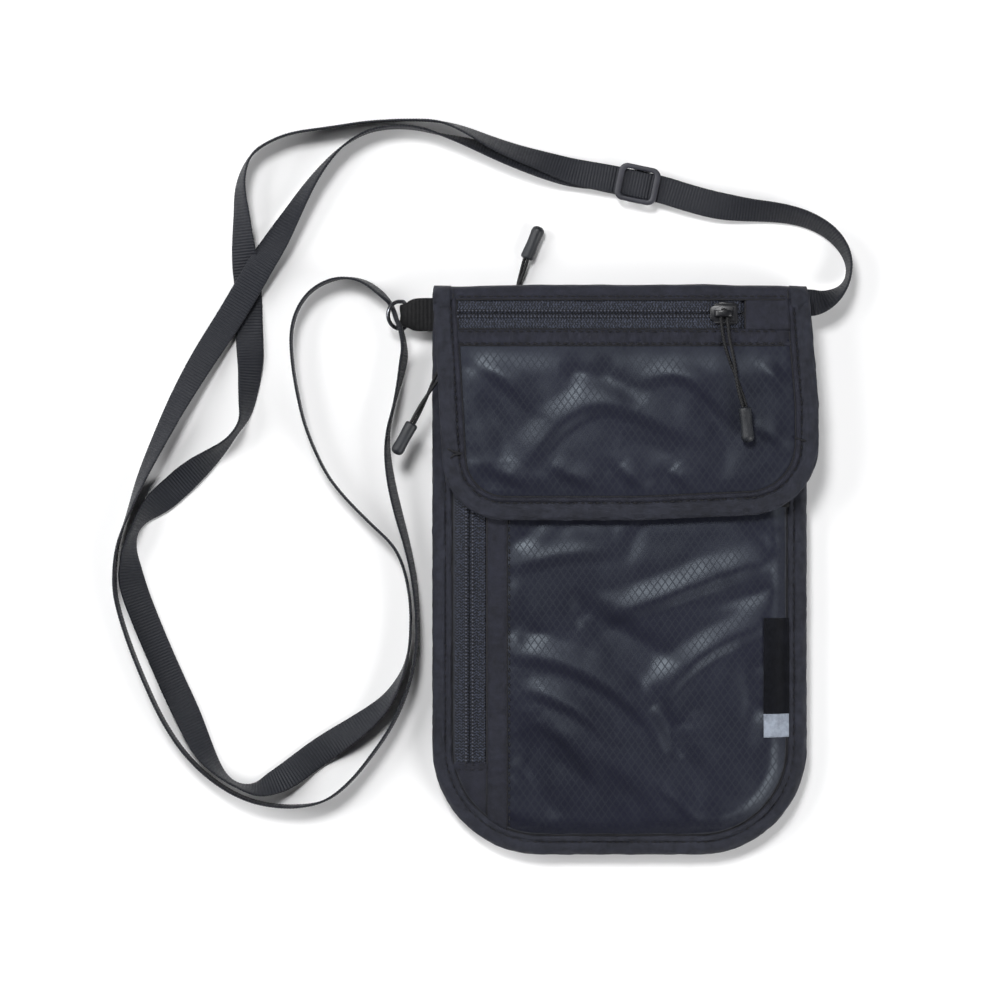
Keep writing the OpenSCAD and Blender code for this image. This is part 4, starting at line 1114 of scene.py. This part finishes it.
facing = cloth(outline(FLAP, FLAP_IN, 1.0, y0=FACING[0], y1=FACING[1]), 0.75, facing_z, thick=0.7)
make("flap_facing_low", facing, "plain", "flap", "flap_strip_low")
facing = cloth(outline(FLAP, FLAP_IN, 1.0, x0=FACING_X, y0=84.2, y1=95.4), 0.8, right_z, thick=0.7)
make("flap_facing_right", facing, "plain", "flap", "flap_strip_right")
seam("flap_facing_stitch", laid(facing_z, ((-57, 83.6), (56.5, 83.6)), ((-57.2, 79.4), (56.7, 79.4))), "flap",
     0.1, radius=0.28)
tape_pair("flap_zip", 0, ZIP_Y, -58.4, 43.6, 84.3, 95.6, flap_tape_z, "flap", "flap_tape_low", "flap_tape_up")
zip_rows("flap", (-58, ZIP_Y), (40.6, ZIP_Y), (41, ZIP_Y), 1.0, flap_tape_z, "flap")
# painted shade: dark strip in the slit at the right piece's edge, and in the facing's seam grooves
facing_end_slit_shade = np.array([(43.5, y, 17.35) for y in np.linspace(84.4, 95, 12)])
painted_shade_strips("flap_facing_seam_shade", laid(raised(flap_tape_z, 0.08), ((-57.6, 84.4), (57, 84.4)))
       + laid(raised(flap_z, 0.12), ((-57.6, 78.8), (57, 78.8))) + [facing_end_slit_shade], "flap", wide=0.34,
       high=0.28)
seam("flap_band_stitch", [band_line(95.8)], "flap", 0.1, radius=0.28, length=2.1)
# painted shade: dark strip in the band's seam groove
painted_shade_strips("flap_band_seam_shade", [band_line(94.95)], "flap", wide=0.34, high=0.26)
make("flap_lining_fabric", cloth(outline(FLAP, 6.4, 1.6, y1=98.4), 2.4,
                                 lambda q: 15.25 + 0.12 * rough_noise(q, 16, 6), thick=0.45), "lining",
     "flap", "flap_lining")
make("loop_strip", patch(-39, 59, 22.4, 30, 1.0, lambda q: 14.85 + 0 * q[:, 0], 1.05), "hook", "flap",
     "loop_tape")
# painted shade: dark strips where the corner pleats crease, the folds themselves not modelled
pleat_crease_shade = [[(-60.2, 42.6, 17.95), (-58.2, 41.7, 18.35), (-55.2, 41.1, 18.3)],
          [(-59.2, 39.4, 17.95), (-57.9, 40.6, 18.3), (-55.2, 41.1, 18.3)],
          [(64.6, 45.4, 17.9), (62.6, 45.9, 18.35), (60.6, 46.6, 18.2)]]
painted_shade_strips("flap_corner_pleat_shade", pleat_crease_shade, "flap", wide=0.35, high=0.25)


# ------------------------------------------------------------------ coils and stops
def coil(name, a, b, side, body, node):
    """Helical zip coil from a to b; side shifts it off the centre line."""
    a, b = np.array(a, float), np.array(b, float)
    way, r, pitch = unit(b - a), 0.45, 1.25
    across = unit(np.cross([0, 0, 1.0], way)) * side
    n = int(np.linalg.norm(b - a) / pitch * 8)
    ph = np.arange(n) * math.pi / 4
    c = a + way * (np.arange(n)[:, None] * pitch / 8) + across * (0.65 + r * np.cos(ph))[:, None]
    c[:, 2] += 0.22 * np.sin(ph)
    make(name, sweep(c, *carried_frame(c), ellipse(0.17, 0.17, 5)), "coil", body, node)


COILS = [("side", 11.4, "pouch", (ZIP_X, ZIP_LOW), (ZIP_X, HEM - 1.4), "side_coil_out", "side_coil_in"),
         ("flap", 16.7, "flap", (-58.4, ZIP_Y), (43.4, ZIP_Y), "flap_coil_up", "flap_coil_low"),
         ("back", 3.4, "pouch", (-50, BACK_Y), (50, BACK_Y), "back_coil_up", "back_coil_low")]
for tag, z, body, start, end, one, two in COILS:
    coil(f"{tag}_coil_one", (*start, z), (*end, z), 1, body, one)
    coil(f"{tag}_coil_two", (*start, z), (*end, z), -1, body, two)


# ------------------------------------------------------------------ hard parts
def slab(pts, z0, z1, bevel=0.25, m=4):
    """Flat plate with rounded corners and softened edges."""
    cuts = [(bevel, z0), (bevel * 0.3, z0 + bevel * 0.3), (0, z0 + bevel), (0, z1 - bevel),
            (bevel * 0.3, z1 - bevel * 0.3), (bevel, z1)]
    v = np.concatenate([at_height(rounded(pts, d, least=0.15, m=m), z) for d, z in cuts])
    return v, tube_faces(len(cuts), len(v) // len(cuts)), v[:, :2].copy()


def block(x0, x1, y0, y1, z0, z1, r=0.3, bevel=0.15):
    return slab([(x0, y0, r), (x1, y0, r), (x1, y1, r), (x0, y1, r)], z0, z1, bevel)


def stops(name, body, pads, node):
    make(name, join(*[block(*p) for p in pads]), "metal", body, node)


stops("side_zip_stops", "pouch", [(ZIP_X - 2, ZIP_X + 2, y, y + 1.2, 10.7, 11.2)
                                  for y in (ZIP_LOW, HEM - 2.4)], "side_stops")
stops("flap_zip_stops", "flap", [(x, x + 1.6, ZIP_Y - 2, ZIP_Y + 2, 16.0, 16.4) for x in (-58.6, 42.2)],
      "flap_stops")
stops("back_zip_stops", "pouch", [(x, x + 1.6, BACK_Y - 2, BACK_Y + 2, 3.7, 4.1) for x in (-50, 48.4)],
      "back_stops")


def slider_mesh(crown):
    """Zip slider with its bridge rising to crown above the plate's middle plane."""
    plate_pts = [(-4.8, -2.2, 1.1), (-1, -4.2, 1.6), (4.8, -3.6, 1.0), (4.8, 3.6, 1.0), (-1, 4.2, 1.6),
                 (-4.8, 2.2, 1.1)]
    inner_pts = [(x * 0.72 + 0.1, y * 0.68, r * 0.7) for x, y, r in plate_pts]
    low_pts = [(-4.5, -2.0, 0.8), (-1, -3.2, 0.8), (4.2, -2.9, 0.8), (4.2, 2.9, 0.8), (-1, 3.2, 0.8),
               (-4.5, 2.0, 0.8)]
    arch = spline([(-3.3, 0, 0.9), (-2.9, 0, crown - 0.8), (-1.8, 0, crown - 0.2), (0, 0, crown),
                   (1.8, 0, crown - 0.2), (2.7, 0, crown - 0.8), (3.0, 0, 0.9)], 5)
    wide = all_y(len(arch))
    bridge = sweep(arch, wide, unit(np.cross(tangents(arch), wide)), ellipse(1.15, 0.3, 14, 0.6))
    post = block(-0.55, 0.55, -0.55, 0.55, 0.9, 2.4, 0.5, 0.05)
    neck = block(-4.2, -2.5, -0.4, 0.4, -1.4, 0.4)
    lips = [block(-3.4, 4.4, s * 3.15 - 0.35, s * 3.15 + 0.35, 0.85, 1.35, 0.25, 0.15) for s in (-1, 1)]
    return join(slab(plate_pts, 0.25, 1.05, 0.28), slab(inner_pts, 0.85, 1.15, 0.14), bridge, post, neck,
                slab(low_pts, -1.8, -1.25, 0.2), *lips)


# each slider's place, turn and whether it is upside down; each cord's middle line and the way its end points
STATIONS = {"flap": ((36, ZIP_Y, 17.4), 0, False), "side": ((ZIP_X, 76.5, 12.1), -90, False),
            "back": ((-40, BACK_Y, 2.7), 0, True)}
CORDS = {"flap": ([(36.2, 86.2, 19.2), (37, 80, 19.6), (39, 72, 20.4), (41, 64, 21.2), (43, 57.2, 21.6)],
                  (1.2, -12)),
         "side": ([(-56, 76.4, 13.9), (-60, 73.4, 13.9), (-64, 67.5, 13.7), (-68.2, 60, 13.2),
                   (-72.6, 51.8, 12.7)], (-5.2, -9.4)),
         "back": ([(-39.8, 83.6, 0.9), (-38.5, 90, 0.9), (-36.5, 98, 1), (-34.5, 104, 1.7),
                   (-32.8, 109.8, 2.4)], (4.6, 10.9))}
CORD_D, CORD_STEP = 1.15, 0.35


def placed(p, station):
    (x, y, z), turn, flip = station
    p = np.array(p, float)
    if flip:
        p = p * [1, -1, -1]
    c, s = math.cos(math.radians(turn)), math.sin(math.radians(turn))
    return np.column_stack([p[:, 0] * c - p[:, 1] * s, p[:, 0] * s + p[:, 1] * c, p[:, 2]]) + [x, y, z]


for tag, station in STATIONS.items():
    slider = moved(slider_mesh(2.95 if tag == "flap" else 2.4), lambda p: placed(p, station))
    make(f"{tag}_zip_slider_metal", slider, "metal", f"{tag}_zip_slider", f"{tag}_slider")
    row, way = CORDS[tag]
    q = resample(spline(row, 6), 0.6)
    at = np.linspace(0, 1, len(q))[:, None]
    phase = 2.6 * step01((at - 0.12) / 0.88)
    off = (1.1 - 0.43 * at) * (unit(leftward(tangents(q))) * np.cos(phase) + all_z(1) * np.sin(phase))
    one, two = q + off, q - off
    half_turn = [(-1.1 * math.cos(a), 0.2 + 1.3 * math.sin(a), 1.5) for a in np.linspace(0, math.pi, 7)]
    loop3 = placed([(-1.1, -2.2, 1.5), (-1.1, -0.8, 1.5), *half_turn, (1.1, -0.8, 1.5), (1.1, -2.2, 1.5)],
                   station)
    if np.linalg.norm(loop3[0] - one[0]) > np.linalg.norm(loop3[0] - two[0]):
        one, two = two, one
    d = np.array([*(np.array(way) / np.hypot(*way)), 0])
    whole = np.concatenate([one[-1:] + d * 1.5, one[::-1], loop3, two, two[-1:] + d * 1.5])
    whole = soften(resample(spline(np.concatenate([whole[:-1:2], whole[-1:]]), 5), CORD_STEP), 1.6)
    braid = 1 + 0.06 * np.cos(2 * math.pi * np.arange(len(whole)) * CORD_STEP / 1.05)
    sec = ellipse(CORD_D / 2, CORD_D / 2, 9)[None] * braid[:, None, None]
    string = make(f"{tag}_pull_string", sweep(whole, *carried_frame(whole), sec), "cord", f"{tag}_zip_pull",
                  f"{tag}_pull_cord", f"{tag}_pull_loop")
    prof = [(0.0, 1.2), (0.08, 1.75), (0.35, 2.1), (0.9, 2.25), (3.0, 2.22), (6.0, 2.12), (9.0, 2.2),
            (10.6, 2.25), (11.4, 2.05), (12.0, 1.55), (12.3, 0.9), (12.4, 0.25)]
    pr = spline(prof, 4)
    c = np.array(row[-1]) + d * (0.1 + pr[:, :1] * 0.992)
    sideways = np.tile([-d[1], d[0], 0], (len(c), 1))
    make(f"{tag}_cord_tip", sweep(c, sideways, all_z(len(c)), ellipse(1, 1, 28)[None] * pr[:, 1:, None]),
         "rubber", f"{tag}_zip_pull", f"{tag}_cord_end")

# ring: straight bar in the tab, two legs and a half circle, tilted up
R, LEG, tilt = 4.8, 2.0, math.radians(30)
ring = [(0, y) for y in np.linspace(-R, R, 16)[1:-1]] + [(-x, R) for x in np.linspace(0.7, LEG, 4)]
ring += [(-LEG - R * math.sin(a), R * math.cos(a)) for a in np.linspace(0, math.pi, 28)[1:]]
ring += [(-x, -R) for x in np.linspace(LEG, 0.7, 4)[1:]]
ring = np.array([(x * math.cos(tilt) - 75.4, y + 89.8, -x * math.sin(tilt) + 5.6) for x, y in ring])
t = tangents(ring, closed=True)
up = np.tile([math.sin(tilt), 0, math.cos(tilt)], (len(ring), 1))
make("d_ring_metal", sweep(ring, unit(np.cross(up, t)), up, ellipse(0.7, 0.7, 14), closed=True), "ring",
     "ring", "d_ring")

# ring tab: webbing folded round the bar, drawn in at the fold
tab = spline([(-63.5, 4.3, 11.4), (-68, 4.25, 11.5), (-72, 4.3, 11.2), (-74.2, 4.35, 9.2), (-75.6, 4.35, 8.0),
              (-76.45, 4.75, 7.7), (-76.75, 5.6, 7.6), (-76.45, 6.45, 7.7), (-75.6, 6.85, 8.0),
              (-74.2, 6.95, 9.4), (-72, 7.15, 11.2), (-68, 7.3, 11.7), (-63.5, 7.2, 11.5)], 5)
tab = resample(tab, 0.35, 2)
centre = np.column_stack([tab[:, 0], 90.0 - 0.25 * (tab[:, 2] < 9), tab[:, 1]])
wide = all_y(len(tab))
high = unit(np.cross(tangents(centre), wide))
k = np.array([(math.cos(a), math.sin(a)) for a in np.linspace(0, 2 * math.pi, 25)[:-1]])
k = np.sign(k) * np.abs(k) ** [0.35, 0.5]
sec = k[None] * np.stack([tab[:, 2] / 2, np.full(len(tab), 0.42)], 1)[:, None, :]
sec[:, :, 1] += 0.16 * np.sin(k[None, :, 0] * 5 + tab[:, :1] * 0.6) * (tab[:, 2:] < 11)
make("ring_tab_webbing", sweep(centre, wide, high, sec), "tab", "pouch", "ring_tab")

# adjuster and the strap end sewn round its middle bar
TURN = math.radians(-12)


def at_glide(p):
    p = np.asarray(p, float)
    c, s = math.cos(TURN), math.sin(TURN)
    return np.column_stack([6.4 + p[:, 0] * c - p[:, 1] * s, 136 + p[:, 0] * s + p[:, 1] * c, p[:, 2]])


rim = densify(rounded([(-6.4, -5.75, 2.2), (6.4, -5.75, 2.2), (6.4, 5.75, 2.2), (-6.4, 5.75, 2.2)], 0, m=8),
              0.5)
c = at_height(rim, 5.5)
t = tangents(c, closed=True)
up = all_z(len(c))
bar = ellipse(1, 0.7, 20, 0.5)[None] * at_height(0.86 + 0.24 * np.abs(t[:, 1:2]), 1.0)[:, None, :]
frame_bar = sweep(c, unit(np.cross(up, t)), up, bar, closed=True)
glide = join(frame_bar, *[block(-2.6, 2.6, s * 5.75 - 0.62, s * 5.75 + 0.62, 1.2, 5.2, 0.5, 0.2)
                          for s in (-1, 1)], block(-1.2, 1.2, -5.4, 5.4, 1.2, 2.4, 0.5, 0.3))
make("adjuster_moulding", moved(glide, at_glide), "plastic", "adjuster", "tri_glide")
wrap = spline([(-16, 1.35), (-11, 1.35), (-7, 1.3), (-3.2, 0.78), (-0.5, 0.72), (1.2, 0.82), (1.85, 1.25),
               (1.95, 1.8), (1.85, 2.35), (1.2, 2.82), (-0.5, 2.9), (-3.2, 2.82), (-7, 2.3), (-11, 2.25),
               (-16, 2.25)], 6)
wrap = resample(wrap, RIB / 3, 2)
c = np.column_stack([wrap[:, 0], 0 * wrap[:, 0], wrap[:, 1]])
wide = all_y(len(c))
half_t = 0.40 + 0.05 * np.cos(2 * np.pi * np.arange(len(c)) / 3)
sec = k[None] * np.stack([np.full(len(c), W / 2), half_t], 1)[:, None, :]
make("strap_end_webbing", moved(sweep(c, wide, unit(np.cross(tangents(c), wide)), sec), at_glide), "webbing",
     "adjuster", "strap_end")
tack = [[(x, y, z) for y in np.linspace(-4.4, 4.4, 12)] for x, z in ((-13.5, 2.72), (-8.6, 2.78))]
make("strap_end_stitch", moved(join(*[stitches(r, 0.02, pitch=1.6, length=1.2, radius=0.16) for r in tack]),
                               at_glide), "dark_thread_and_groove_shade", "adjuster")
